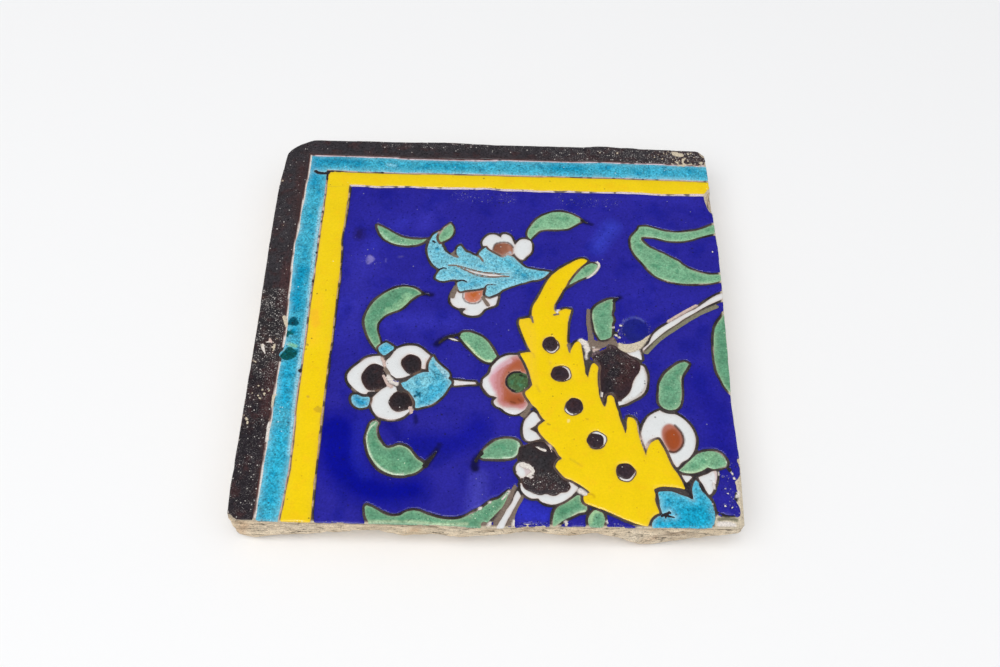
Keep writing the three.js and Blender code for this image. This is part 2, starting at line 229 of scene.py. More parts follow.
        (29.3, -16.7, 3.7, 4.2, 0), (33.7, -34.2, 4.3, 4.2, 0), (40.6, -52, 4, 4.3, 0),
        (49.9, -70.8, 3.9, 4, 0), (63.2, -86.2, 4.1, 4, 0)]),
    dict(name="blossomPatch", glaze="white", gap=0.15, line="""12.8,-86 13.7,-84 15.2,-83.4
        17,-84.2 18.8,-84 20.4,-85.8 20.8,-88 | 19.6,-89.8 21.2,-90.6 | 19.8,-91.8 17.8,-90.4
        | 16,-91.6 13.8,-89.8"""),
    dict(name="midribSlip", glaze="white", gap=0.2, line="""-15.5,28.7 -10,27.1 -4,25.9
        2,25.3 | 7,24.5 0,24.1 -5,24.7 -10,26.2 |"""),
    dict(name="stemSliver", glaze="white", gap=0.6, line="""-20.8,-14.9 -18,-15.2 |
        -15.5,-16.5 -18,-16.1 |"""),
    dict(name="dripRun", glaze="turquoise", gap=0, disc=(-99.6, -27.4, 2.6, 2.4, 0)),
]

# Marks that bare the drawn line between the glazes: points, width at each end, colour, and how
# ragged the edge is. A mark with no width is a filled shape. The length of its text picks the
# noise of its edge.
lineColours = {
    "ink": (38, 32, 36), "line": (68, 60, 58), "umber": (122, 106, 94), "clay": (205, 192, 168),
    "slip": (222, 214, 206), "rose": (204, 180, 170), "olive": (126, 122, 100),
    "brown": (118, 92, 76), "rust": (88, 52, 48), "tan": (190, 160, 120),
    "lilac": (216, 200, 208), "edge": (120, 98, 86),
}
marks = [
    ("46.5,62.7 49,61.3 51.6,60.2", 1.2, 0.6, "ink", 0.2),
    ("-34.5,12 -32.5,11.3 -30.6,10.9", 1.6, 0.8, "ink", 0.3),
    ("-15.4,-12.8 -20.5,-14 -23.7,-16.6 -25.4,-18.4", 1.6, 1.4, "ink", 0.3),
    ("-28.6,-86.2 -27.6,-84.2 -25.2,-81 -23.6,-78.4", 2.6, 1, "ink", 0.3),
    ("-3,-79 -4.9,-81.5 -5.8,-84", 1.8, 1.4, "ink", 0.3),
    ("61.6,10.2 63,11.8 64.2,12.3", 1.5, 1, "ink", 0.3),
    ("48.5,4.5 48.3,-2 48.8,-8 50.2,-14", 1.6, 2.2, "umber", 0.15),
    ("49.5,-14.6 53.5,-17.2", 3, 2.4, "umber", 0.3),
    ("-3.2,17 -2.4,18.3 0,18.9 2.4,18.5", 0.8, 0.5, "line", 0.05),
    ("-22.4,30.4 -17.6,30.2 -10,28 -4,26.6 4,26 10.2,26.1", 0.9, 0.5, "umber", 0.05),
    ("-18,29.8 -13,27 -7,24.1 0,23.3 5,24 9.9,24.3", 0.5, 0.9, "umber", 0.05),
    ("-26.6,27.6 -24.4,28.6 -22.8,27.7", 1.1, 0.6, "ink", 0.1),
    ("-17.2,20.4 -14.5,20.9 -12.2,19.5", 1.2, 0.7, "ink", 0.1),
    ("-17.9,36 -20.3,37.2 -19.7,40.2", 1.5, 1, "umber", 0.2),
    ("-6.6,36.6 -4.7,33.6", 1.3, 1.1, "umber", 0.2),
    ("-30.8,45.9 -29.9,45", 1.1, 0.9, "ink", 0.2),
    ("-4.3,10.4 -1.6,5.8", 1.7, 2, "umber", 0.2),
    ("-19.6,10.4 -18.2,15.8", 2.4, 2.4, "umber", 0.3),
    ("-15,2.6 -13.2,2.9", 2, 1.1, "line", 0.1),
    ("31.6,1 33.6,1.5", 1.2, 1, "umber", 0.1),
    ("20.3,-0.6 20.9,-4.2", 1, 0.8, "umber", 0.15),
    ("38.3,-17 38.8,-21.6", 1.5, 0.7, "umber", 0.1),
    ("78.6,-108.9 81,-107.4 83.4,-107.2", 1.2, 0.8, "ink", 0.3),
    ("80.2,-109.6 82,-106.4", 0.8, 0.7, "ink", 0.2),
    ("81,-108.6 84.2,-109.2", 0.9, 0.7, "ink", 0.2),
    ("91.2,-92.5 91.2,-96 93.7,-100.2", 2.2, 1, "ink", 0.1),
    ("97.4,-92.5 98.6,-96", 1.6, 1.2, "ink", 0.1),
    ("-64.9,-45.9 -63.6,-46.9", 1, 0.8, "umber", 0.2),
    ("12.4,-95.5 8,-107 2.8,-117", 1.4, 2.2, "umber", 0.2),
    ("15.8,-101 12.6,-108 9.8,-117", 1.2, 2.4, "umber", 0.2),
    ("-96,91.7 -94,90.7 -90,90.5 -88.6,91.2", 2, 1.1, "ink", 0.6),
    ("-90,91.9 -81.6,92.3", 0.9, 0.5, "ink", 0.5), ("-89.6,90 -89.4,86.4", 0.9, 0.5, "ink", 0.6),
    ("78.2,-11.4 77.6,-13.4", 1.3, 1.2, "ink", 0.1),
    ("88.5,-0.9 96.5,5 105.5,11", 1.3, 1.2, "rose", 0.1),
    ("76.6,-20.5 84,-12 93,-4.6 104,3.6 117,10.6", 1.6, 2, "olive", 0.15),
    ("-52.5,-28 -50.9,-31.5 -49.9,-35.4", 1.2, 1.2, "rose", 0.1),
    ("-51,-38 -48.6,-42.8 -46.2,-44.6", 1.4, 1.4, "rose", 0.1),
    ("62.6,-14.6 66,-15.6 70,-15.2 76,-11.8 78.8,-8.9 | 76.6,-13.5 73.4,-18 68.4,-20.6 "
     "63.4,-18.4 |", 0, 0, "clay", 0.3),
    ("14.8,-25.4 17.2,-31 19,-37.4 18.6,-41", 0.9, 0.9, "line", 0.2),
    ("19.4,-52.4 17.4,-56.4 15.4,-58.8", 2.2, 2, "umber", 0.3),
    ("-1,-115.4 3,-117.2", 3, 3, "umber", 0.2),
    ("16.4,-114.5 25.6,-114.9", 0.5, 0.6, "slip", 0.4),
    ("35.4,-113 37,-114.2", 0.6, 0.8, "slip", 0.4),
    ("54,-112.2 55.6,-113.8", 0.6, 0.7, "slip", 0.4),
    ("14.6,-33.6 10.8,-34.3 8.5,-36.8 7.9,-40 9.3,-43.1 12.8,-45", 1, 0.9, "ink", 0.2),
    ("104,-107.9 107.4,-108.4 113.8,-108.4 | 114.1,-107.9 114.3,-103.6 113.3,-99.8 "
     "114.3,-96.1 113.3,-91.8 115.4,-88.5 116,-83.7 115.7,-78.9 | 119,-78 | 119,-119 | "
     "103,-119 | 102.6,-111 |", 0, 0, "clay", 0.9),
    ("104.8,-112.3 108,-112 111.6,-112.6", 2.4, 1.8, "slip", 0.4),
    ("104.4,-109.6 109,-109.3 113.4,-109.8", 1.3, 1, "olive", 0.4),
    ("99.4,112.7 103.2,111.6", 3.2, 2.2, "clay", 0.7),
    ("112,116 112.6,113 114.8,110.2 | 119,110 | 119,119 | 112,119 |", 0, 0, "clay", 0.6),
    ("115.2,87 113.9,84.9 112.8,82.8 113.1,79 113.9,75.2 115.2,72.5 116.6,70.4 | 119,70 |"
     " 119,88 |", 0, 0, "clay", 0.3),
    ("-115.6,-113 -113.2,-113.8 -112,-115.2 -110.5,-116 | -110,-119 | -119,-119 | -119,-113 |",
     0, 0, "clay", 1.1),
    ("-110.9,-22.2 -110.2,-24.6 -108.8,-27.6", 1.5, 1, "slip", 0.4),
    ("-109,-20.4 -107.4,-20.1 -105,-20.3", 0.8, 0.4, "slip", 0.6),
    ("-107.6,-18.6 -106.2,-22.6 -106.8,-25.4", 0.6, 0.4, "rose", 0.7),
    ("-104.6,-22 -105.4,-26.6", 0.4, 0.5, "rose", 0.7),
    ("-102.4,-5 -101.4,-8 -100.5,-10.7", 1.4, 1.2, "clay", 0.3),
    ("-102,-51.4 -102.2,-56.5", 1.2, 1, "clay", 0.3),
    ("-115.5,-30.8 -112.6,-32.2", 0.9, 0.6, "clay", 0.4),
    ("22,-74.6 24.4,-76 27,-76.9", 0.9, 1.3, "slip", 0.3),
    ("16.2,-84.6 19.8,-86.2 20.6,-88.2 17.6,-90.8", 2.6, 1.2, "slip", 0.4),
    ("54.2,-44.2 53.9,-46", 0.8, 0.5, "slip", 0.2),
    ("28.6,-74.2 29.3,-77.2", 0.9, 0.7, "rose", 0.3),
    ("45.6,-14.2 48.6,-14.4 51,-17.2 54.6,-18.4 | 50,-21.2 48.8,-24.6 49.6,-26.4 | "
     "47.6,-28.6 46.6,-33.6 | 45.8,-27 45.8,-20 |", 0, 0, "line", 0.3),
    ("48,-8 49.6,-12 51.6,-13.8 54.4,-14.8 58,-14.2 60.8,-12 62,-14.6 62.4,-17 | 58.5,-15.6 "
     "55,-18.2 50.4,-19.4 | 48,-16 |", 0, 0, "umber", 0.3),
    ("45.2,-14.6 47,-16.2 47.8,-19.4", 3, 1.8, "slip", 0.8),
    ("47.2,-20.4 46.7,-23.4 46.9,-25", 0.9, 0.6, "slip", 0.7),
    ("50.6,-19.8 53,-18.9", 0.7, 0.5, "rose", 0.5),
    ("-50.4,-34.2 -48.6,-37.4", 2.2, 1.8, "umber", 0.3),
    ("42.2,-97.2 44.6,-98.8", 1.9, 1.3, "slip", 0.3),
    ("-48.8,-38.4 -46.8,-41 -44.2,-42.4", 1.8, 1.8, "slip", 0.5),
    ("-43.6,-44.8 -42,-47", 1.6, 1.2, "line", 0.1),
    ("-37.4,-55.4 -36.4,-58.4", 1.9, 1.3, "rose", 0.4),
    ("54,35.6 55.2,33.6 53.6,30 50.5,26 48.6,24.6", 0.8, 0.6, "slip", 0.1),
    ("33.1,2.7 33.7,3.7", 1.1, 0.8, "slip", 0.3),
    ("12.4,-113 11.9,-117", 0.9, 1, "slip", 0.2), ("1.7,-114.4 0.2,-117", 0.8, 0.9, "slip", 0.2),
    ("9.8,-98.4 6.8,-102.6", 0.6, 0.7, "slip", 0.2),
    ("111.4,-84.4 112.6,-86.4 112,-89.4", 2, 1, "ink", 0.9),
    ("113.3,-96.4 113,-99.8", 1.5, 1.1, "ink", 0.8),
    ("104.4,-106 107.6,-107.7 113,-107.5", 0.9, 0.6, "ink", 0.5),
    ("64.4,-6 62.6,-9.4 64.2,-13", 1.1, 1, "ink", 1.1),
    ("78.6,-95.2 84,-95 88,-96 91,-97.6", 1.4, 1.6, "line", 0.3),
    ("-102.6,-66 -102.3,-75", 1.1, 1.4, "slip", 0.3),
]

# Small chips in the glazes: their colour, and "x,y,radius" for each
chips = [
    ("clay", """96.5,110.5,0.5 94.7,112.3,0.4 97.8,113.5,0.5 98.1,108.3,0.5 101.6,107.7,0.4
        104.9,109.3,0.5 106.6,112.3,0.6 106.2,107.5,0.4 109.6,110.4,0.5 111.3,108.3,0.5
        92.5,108.7,0.4 95.7,113.9,0.4 108.9,107.3,0.3 113.4,106.5,0.8 90.3,111.6,0.3
        103,108,0.4 99.6,109.6,0.6 108.2,113.3,0.5 -113.4,84.2,0.7 67.5,111.8,0.5
        45.6,110.4,0.4 58,111.9,0.4 -106.6,-49.9,0.5 -109.4,-50.9,0.5 -107.7,-53.4,0.4
        -112.4,-49.6,0.5 -109.8,-45.6,0.4 -104.9,-48.4,0.3 -114.4,-62.2,0.6 -103.6,-64,0.4
        -112.5,-66.5,0.4 -110.6,-16.4,0.4 -111.4,-13,0.3 -105,-23.6,0.4 -107,-27.5,0.3
        -112,57.8,0.3 -109.3,53.6,0.3 -113.9,6.6,0.4 -104.4,24.6,0.4 -105.2,20.6,0.3"""),
    ("slip", """112.4,-86,0.5 113.2,-88.6,0.5 110.6,-88.8,0.4 113.5,-97.8,0.4 108.8,-94,0.5
        107.8,-103,0.6 106.6,-101.4,0.4 110.6,-103.8,0.5 104.8,-100.6,0.3 111,-92.4,0.3
        63.4,-8,0.4 64,-11.8,0.5 61.8,-10.6,0.4 66,-13.8,0.4 114.5,44.2,0.6 114.8,40.4,0.5
        45.8,48.8,0.4 29.6,-28,0.3 -3,-107.4,0.5 1.4,-104.4,0.5 -7.4,-111.4,0.4
        18.2,-114.8,0.5 22.4,-115,0.6 35.4,-114.6,0.5 57.4,-113.8,0.5 61,-114.4,0.5"""),
    ("ink", """61.4,-7.4,0.6 66.4,-9.6,0.5 65.2,-4.4,0.5 62.2,-13,0.5 111.4,-101,0.5 109.6,-96.6,0.4
        -90.5,36,0.6 -90.4,17.6,0.7 -91,-36.2,0.8 -89.6,57,0.4 -60.2,92.4,0.5 -89.9,63.4,0.4"""),
]

# Places full of small chips that thin out from the middle: colour, middle, reach and amount
flaked = [
    ("clay", 101, 112.4, 13, 0.42), ("clay", 109, 110, 7, 0.3),
    ("clay", -107.8, -50.6, 6, 0.3), ("clay", -105, -20.4, 6, 0.35), ("slip", 112.4, -96, 10, 0.05),
    ("slip", 47.4, -19, 4, 0.9), ("slip", 64.6, -9, 5, 0), ("clay", -113, -64, 6, 0.25),
]

# The border's three drawn lines: where each runs, as "y,x" down the left and "x,y" along the back,
# half its width, and for both runs the colours of its outer and inner part and the share of dashes.
borderLines = [
    dict(left="-119,-103.3 -100,-103 -80,-102.5 -60,-102 -40,-101.8 -20,-101 -10,-100.5 "
              "0,-101.2 20,-101.8 40,-102.3 50,-101.5 80,-100.5 90,-99.8 119,-99.8",
         back="-119,103.5 -60,103.5 -45,102.7 -30,103 -10,103.3 5,104.2 40,104.2 60,104.8 "
              "80,104.5 119,104.3", half=0.68,
         leftColours=("rust", "slip", 0.25), backColours=("rust", "lilac", 0.4)),
    dict(left="-119,-92.4 -105,-91.2 -90,-90.2 -75,-90.2 -60,-90.8 -40,-90.7 0,-90.3 "
              "40,-90 55,-89.8 70,-89.5 119,-89.2",
         back="-119,92.5 -85,92.5 -70,92 -50,92.1 -30,92.5 10,92.8 40,93 70,93.2 90,93 "
              "119,92.8", half=0.5,
         leftColours=("rose", "brown", 0.42), backColours=("rose", "umber", 0.5)),
    dict(left="-119,-77.2 -100,-78 -60,-78 -40,-77.8 -20,-77.2 0,-77 20,-76.8 35,-77 "
              "45,-77.8 60,-77 80,-76.5 119,-76.5",
         back="-119,82.3 -75,82.3 -60,82 -45,82.6 -30,82.2 -5,83 5,82.3 15,82.5 25,82 "
              "40,82.7 50,82.5 75,83 90,82.3 119,83.2", half=0.62,
         leftColours=("tan", "ink", 0.8), backColours=("lilac", "lilac", 0.52)),
]

# Brushwork in a glaze, and one painted highlight: glaze, points, width at each end, colour,
# softness in millimetres, and share. Marks with no width are filled shapes.
brushworkAndHighlight = [
    ("white", "12.3,-24.6 7.5,-27.6 4.2,-30.2 1,-34.6 -0.3,-38.6 0.5,-41.2 1.5,-43.9 3.2,-46.6 "
     "| 3.9,-49 4.4,-51.2 6.6,-53.4 9.6,-53.7 12.8,-54.1 15.5,-54.9 17.9,-52.7 19,-50.1 "
     "25,-45 25,-30 18,-24 |", 0, 0, (216, 158, 168), 2.6, 1),
    ("white", "15,-24 11,-26 6.8,-31 4.6,-36 4,-41 5,-46 4.8,-50.4 7.4,-52.8 13,-53.4 17,-52 "
     "25,-46 25,-30 18,-22 |", 0, 0, (174, 92, 60), 6, 1),
    ("white", "13,-47.6 9,-50 11,-52.6 15.6,-51.8 17.4,-49.6", 0, 0, (158, 80, 46), 2.6, 0.9),
    ("white", "10.4,-51 12.4,-51.6", 0.8, 0.7, (112, 54, 34), 0.7, 0.8),
    ("white", "13.8,-49.4 15.2,-50.6", 0.8, 0.7, (116, 56, 36), 0.7, 0.8),
    ("white", "1.2,-34 6,-29.6 10.4,-27", 1.4, 1.2, (226, 206, 222), 2, 0.7),
    ("green", "14.8,-33.6 10.8,-34 8.2,-36.6 7.8,-40 9.4,-43.4 13,-45.2", 1.5, 1.2,
     (26, 34, 26), 0.7, 0.95),
    ("green", "15.4,-45 18,-42 19,-38.6", 0.6, 0.6, (44, 60, 40), 0.7, 0.8),
    ("white", "0.4,38 0.3,42 1.8,44.5 5.6,45.8 9,44.8 10.8,42 10.4,38 9,36 | 4,34 |", 0, 0,
     (150, 96, 74), 0.8, 1),
    ("white", "2.6,43.8 1.8,41 3.4,38.6", 2.4, 2, (118, 70, 54), 2, 0.8),
    ("white", "8.4,43.4 9.4,40", 1.6, 1.6, (178, 124, 102), 1.6, 0.7),
    ("white", "9.1,39.6 9.3,38.4", 1.4, 1.2, (170, 178, 192), 0.8, 0.9),
    ("white", "-13.3,15 -13.6,10 -12.4,7.6 -9.7,6.7 -6.8,7.6 -4.9,10.4 -4,13.5 | -4,18 "
     "-13,18 |", 0, 0, (206, 128, 104), 0.8, 1),
    ("white", "-11,13.6 -11.2,11 -9.6,9 -7.4,9.8 -6.2,12 -6,14.4", 0, 0, (190, 100, 48), 2, 1),
    ("white", "81,-66 81.6,-71 84,-75.4 86.6,-76.2 90,-73.4 91.2,-69 89.8,-64.4 87,-61.4 "
     "84.4,-60.8 82,-62.6", 0, 0, (178, 110, 92), 1.6, 1),
    ("white", "82.6,-66 82.8,-71 85,-74.8 88.2,-73.6 89.8,-69 88.4,-64.8 86,-63.6", 0, 0,
     (154, 76, 42), 2.2, 1),
    ("white", "86,-66 86.6,-71", 3, 3, (168, 76, 34), 3, 0.8),
    ("white", "87.6,-61.6 90.2,-65 91.2,-69.4 89.8,-73.4 86.6,-76 83.2,-75.2", 1.1, 1.3,
     (86, 54, 44), 0.8, 1),
    ("white", "-14.2,13 -14.3,10 -12.8,7.2 -9.7,6.1 -6.5,6.9 -4.4,10", 0.7, 0.8, (92, 66, 60),
     0.5, 0.9),
    ("white", "0.2,41 1.6,44.8 5.6,46.3 9.2,45.3 11.2,42", 0.7, 0.9, (82, 58, 50), 0.5, 0.9),
    ("white", "104.2,-84.4 105,-88 104.6,-92", 1.2, 0.8, (222, 196, 190), 0.8, 0.9),
    ("white", "95,-60.5 97.2,-66 96.6,-73", 0.8, 0.8, (196, 190, 184), 0.8, 0.7),
    ("white", "-32,-32.6 -31,-30 -31.4,-27", 1.2, 0.8, (228, 210, 204), 0.8, 0.9),
    ("white", "74.8,-29 75.8,-34 75,-40.4 70,-46.6 63,-50.4", 1, 1.2, (186, 182, 174), 0.9, 0.8),
    ("cobalt", "71.5,-7.5 71.7,-7.5", 13.5, 13.5, (29, 36, 118), 1.2, 0.9),
    ("cobalt", "65.5,-2.5 71.5,0.6 78,-3", 0.6, 0.6, (92, 106, 176), 0.8, 0.8),
    ("cobalt", "-69.4,47.6 -69,50.4", 5, 5, (32, 24, 92), 2, 0.85),
    ("cobalt", "-76,-16 -74,0 -70,5", 5, 8, (48, 48, 176), 7, 0.6),
    ("cobalt", "-62,40 -52,54 -44,60", 7, 5, (50, 50, 178), 7, 0.6),
    ("cobalt", "-34.6,-60 -34,-63.6", 1.6, 2, (22, 20, 92), 1.2, 0.9),
    ("green", "-55,13.6 -48,15.4 -42.5,16 -38,14.4 -35.5,12.2", 0.9, 0.9, (204, 222, 184), 0.8, 1),
    ("green", "-42.2,8.6 -44.6,4.6 -49,2 -52,0.6", 4, 1.2, (160, 206, 158), 3, 0.8),
    ("green", "-59,51 -51,43.6 -42,42.6", 0.6, 0.8, (190, 214, 190), 0.8, 0.6),
    ("green", "0.4,-27.8 -2.4,-28 -6,-25 -10,-20 -13,-16.2", 1.2, 0.6, (208, 220, 178), 0.8, 1),
    ("green", "-0.6,-17 1.6,-21 3,-24.6", 0.7, 0.7, (206, 226, 204), 0.7, 0.9),
    ("green", "-44,-76.6 -38.6,-76.4 -35,-79.6 -30,-84.6", 0.6, 1.2, (206, 224, 184), 0.8, 0.9),
    ("green", "13.6,-72.6 14.2,-75 13.4,-78.4 11,-81 6,-81.4", 0.9, 1.2, (200, 224, 200), 0.8, 0.9),
    ("green", "-52,-115.6 -36,-114.9 -20,-115.8 -5,-115", 1, 1, (204, 220, 178), 2.2, 0.8),
    ("green", "110.8,-78.6 111,-81.4", 1.6, 1.6, (214, 226, 214), 0.8, 0.9),
    ("green", "92.6,-34 93,-42 91.8,-49", 1, 1.5, (204, 192, 166), 0.9, 0.8),
    ("yellow", "-89,81 -76.6,81.4", 0.4, 0.4, (206, 176, 60), 0.5, 0.5),
    ("turquoise", "-99,81 -90.6,81", 0.4, 0.4, (70, 130, 156), 0.5, 0.5),
    ("turquoise", "-92,107 -97,102", 2, 2, (0, 128, 170), 3, 0.8),
    ("green", "90.6,-86 95,-86.2 99.4,-84.6", 0.8, 0.8, (200, 220, 180), 0.8, 0.9),
    ("green", "76.5,58.6 84,58.6 95,56 107,57.8", 0.5, 0.5, (166, 208, 170), 0.8, 0.7),
    ("green", "50.6,2 50.9,-5 52.9,-11.6", 0.7, 0.9, (188, 214, 182), 0.8, 0.8),
    ("turquoise", "15,26 25,25.6", 3, 4, (70, 176, 200), 6, 0.7),
    ("turquoise", "-14,17.6 -4,21", 3, 3, (62, 170, 204), 5, 0.7),
    ("turquoise", "6,33.4 12,30", 3, 3, (64, 180, 204), 4, 0.6),
    ("turquoise", "-30,-52 -22,-44", 3, 4, (34, 164, 202), 5, 0.9),
    ("turquoise", "-37,-42 -31,-41", 4, 4, (142, 208, 220), 4, 0.9),
    ("turquoise", "77,-113 90,-110 97,-108", 14, 14, (16, 160, 196), 7, 1),
    ("turquoise", "-96.5,24 -98,10 -96.5,0", 7, 7, (0, 146, 184), 5, 1),
    ("turquoise", "-98,-21.4 -94.6,-22.6", 2, 2, (128, 190, 150), 1.4, 0.9),
    ("yellow", "17.6,-21 20.8,-23 21.6,-26.2", 0.7, 0.7, (196, 160, 60), 0.9, 0.7),
    ("yellow", "22.4,-41 24,-45", 0.8, 0.8, (196, 156, 50), 1.2, 0.5),
    ("yellow", "38,-81 43,-84.5", 0.7, 0.7, (204, 170, 40), 1.2, 0.6),
    ("yellow", "46.3,-59.6 46.8,-59.6", 0.5, 0.5, (150, 116, 40), 0.7, 0.8),
    ("yellow", "27.6,-62.6 28.8,-63", 0.6, 0.5, (130, 100, 50), 0.8, 0.8),
    ("yellow", "37.6,-60.2 37.4,-61.4", 0.8, 0.5, (252, 236, 170), 0.7, 0.9),
    ("yellow", "16,-4 20,-12 20,-30 22,-42", 3, 3, (242, 200, 44), 4, 0.7),
    ("yellow", "44.6,-98.6 48,-99.2 48.4,-101", 0.8, 0.8, (204, 158, 20), 1.2, 0.8),
    ("yellow", "-86,8 -86.6,-20", 3, 4, (250, 202, 30), 4, 0.8),
    ("yellow", "-87.6,-2 -86.4,-9", 2, 2, (248, 178, 42), 3, 0.8),
    ("yellow", "-84,-30 -84.6,-116", 11, 12, (243, 207, 4), 14, 0.9),
    ("cobalt", "-64,34.4 -62,34.8 -60.4,32.4 -62.2,29.8 -64,29.4", 0, 0, (148, 138, 196), 0.7, 0.9),
    ("cobalt", "-54.6,31 -54.4,33", 0.5, 0.5, (112, 106, 182), 0.5, 0.7),
    ("cobalt", "-48,34.4 -46,34.8", 0.8, 0.6, (98, 92, 172), 0.8, 0.7),
    ("turquoise", "-96.4,91.4 -94,90.6 -90,90.2", 2.8, 1.8, (18, 66, 88), 1.4, 0.85),
    ("yellow", "-89.4,-21 -88.8,-21.8", 0.7, 0.7, (120, 90, 50), 0.6, 0.8),
    ("yellow", "-86,-51 -85.6,-51.4", 1, 1, (196, 156, 54), 0.8, 0.8),
    ("yellow", "-80.6,-58 -79.2,-58.4", 1.4, 1, (130, 96, 50), 1, 0.7),
    ("cobalt", "-71,-70 -66,-88 -50,-100 -28,-98", 22, 14, (0, 6, 142), 12, 0.95),
    ("cobalt", "-34,-76 -14,-74 -2,-62", 14, 12, (12, 16, 150), 9, 0.8),
    ("cobalt", "-46,-65 -42,-72", 8, 6, (14, 14, 124), 5, 0.7),
    ("cobalt", "-60.5,-66 -60,-84 -54,-94", 3, 3, (40, 46, 176), 7, 0.55),
    ("cobalt", "-69,-10 -67,30", 12, 12, (54, 50, 168), 12, 0.6),
    ("cobalt", "54,44 62,58", 6, 8, (56, 66, 196), 8, 0.8),
    ("cobalt", "76,79.4 104,79", 2.6, 2.6, (50, 48, 176), 4, 0.6),
    ("cobalt", "100,-35 108,-60 106,-90", 14, 12, (26, 24, 146), 10, 0.75),
    ("cobalt", "-4,-92 -5,-106", 6, 7, (78, 76, 188), 7, 0.6),
    ("cobalt", "15,-107 27,-108", 12, 12, (46, 50, 188), 4, 0.85),
    ("cobalt", "-48,-6 -20,-5", 8, 8, (54, 52, 178), 9, 0.6),
    ("cobalt", "-36,56 -30,74", 6, 7, (58, 54, 180), 8, 0.6),
    ("cobalt", "-8,58 0,76", 10, 10, (38, 32, 140), 8, 0.4),
    ("cobalt", "24,-1 27,-10", 3, 3, (30, 26, 132), 3, 0.5),
    ("cobalt", "47,62.4 50,60.8 53,59.6", 3.2, 1.6, (18, 14, 54), 1.8, 0.9),
    ("cobalt", "-34.5,12 -32,11.4 -29.2,10.8", 3.2, 2.6, (18, 14, 54), 1.6, 0.9),
    ("cobalt", "-17,-13.2 -22,-15 -25,-17.6 -26.8,-19.6", 2.8, 3.6, (16, 14, 52), 1.6, 0.9),
    ("cobalt", "-28,-85 -25.6,-81 -23.6,-77.8 -22.4,-74.6", 3.6, 2.6, (16, 14, 52), 1.6, 0.9),
    ("cobalt", "-3.4,-79.6 -5.4,-82.4 -6.2,-85.4 -5.6,-87.8", 3, 4, (16, 14, 52), 1.8, 0.9),
    ("cobalt", "61.6,10.6 63.4,12 65.4,12.8", 3, 2.4, (16, 14, 52), 1.6, 0.9),
    ("black", "50,-22.4 53.4,-20.8 57,-18.8 59.6,-17.4 61.6,-18.6", 1.2, 1.4, (150, 128, 134),
     0.9, 0.85),
    ("black", "58.6,-19 58,-21.6 59.6,-23.4", 2.2, 1, (138, 116, 122), 1.1, 0.8),
    ("black", "63.4,-20 68,-23.6 71.6,-26.6", 1.2, 0.8, (120, 98, 98), 0.8, 0.8),
    ("black", "60,-24 60,-34 58,-42", 16, 12, (42, 38, 43), 6, 0.9),
    ("black", "67,-28 66,-34 61,-43", 5, 3, (74, 44, 42), 5, 0.7),
    ("black", "-54,-38 -52,-41", 14, 14, (42, 38, 42), 5, 0.95),
    ("black", "-38.6,-29 -37,-33", 10, 10, (42, 38, 42), 5, 0.95),
    ("black", "-42,-51 -40,-53", 12, 12, (42, 38, 42), 5, 0.95),
    ("black", "-109,6 -109,-44", 14, 14, (42, 40, 43), 8, 0.95),
    ("black", "-109,-44 -110,-116", 14, 14, (40, 36, 41), 8, 0.95),
    ("black", "20,-78 28,-94", 16, 16, (50, 48, 51), 8, 0.9),
    ("black", "-104,26 -103.6,4", 3, 3, (84, 52, 52), 5, 0.7),
    ("black", "-104.6,-34 -104.6,-60", 3, 3, (80, 48, 48), 5, 0.7),
    ("black", "-104,96 -103,60", 3, 3, (70, 46, 44), 5, 0.6),
    ("white", "16.6,-84.4 20.2,-85.4 20.4,-89 18,-90.4 16.8,-88", 0, 0, (206, 188, 190), 1.2, 0.9),
    ("green", "14.6,-35.6 17,-36.6", 1.3, 1, (30, 34, 30), 0.7, 0.9),
    ("green", "-52.6,-64 -56,-68.4 -56.4,-74 -55.6,-78 -53,-83.6 -49,-88 -43,-91.2 -37,-91",
     0.7, 1, (214, 226, 204), 0.5, 0.95),
    ("green", "-50,-84 -44,-87 -36,-87", 4, 2, (120, 178, 134), 4, 0.6),
    ("green", "33,-108 38,-105 42,-102", 2, 2, (70, 134, 92), 3, 0.7),
    ("green", "46.6,-113 47.6,-108.4 51,-107.4", 1.6, 1.4, (164, 204, 152), 1.4, 0.8),
    # A painted highlight: a pale beige stroke along the front edge of the leaf by the front.
    ("green", "44,-107.4 40.6,-108.8 37.6,-111", 1, 1, (220, 214, 190), 0.8, 0.9),
    ("green", "104,-77 100,-83 96,-85", 4, 3, (138, 190, 146), 4, 0.8),
    ("green", "-60,4 -56,10 -51,13.6 -46,15.2", 0.7, 0.9, (210, 224, 192), 0.5, 0.8),
    ("turquoise", "-97,-33 -98,-45 -96,-56", 4, 5, (10, 166, 206), 6, 0.9),
    ("turquoise", "-35.4,-49.2 -33.6,-48.2 -32.8,-46.8", 1.6, 1, (12, 52, 66), 0.8, 0.95),
    ("turquoise", "-34.8,-46.8 -33.4,-48.4 -33,-49.8", 0.8, 1, (10, 46, 60), 0.7, 0.95),
    ("turquoise", "-25,-30.6 -21.6,-35 -19.8,-38.2", 1.3, 1.5, (210, 228, 228), 1, 0.85),
    ("turquoise", "-29.4,-32.4 -27,-35.4 -23,-37.4 -20.6,-37.8", 0.7, 0.8, (24, 104, 130), 0.7,
     0.8),
    ("turquoise", "-63,-50.6 -61,-53.6 -57.4,-54", 5, 4, (0, 140, 186), 3, 0.95),
    ("turquoise", "-54,-24 -51,-22 -49.6,-21", 3, 3, (30, 158, 196), 3, 0.8),
    ("turquoise", "-97,-70 -96,-84 -98,-96 -97,-110", 5, 5, (34, 172, 206), 6, 0.85),
    ("turquoise", "-91,66 -91.4,34 -91.2,0 -91.9,-34 -91.6,-64 -91.2,-88", 1, 1, (184, 218, 230),
     2.2, 0.8),
    ("turquoise", "-93,99.5 -82,99.5 -70,99", 6, 5, (0, 134, 172), 5, 0.9),
    ("turquoise", "-57.5,97.6 -53,97", 2.2, 1.8, (128, 196, 218), 2.5, 0.8),
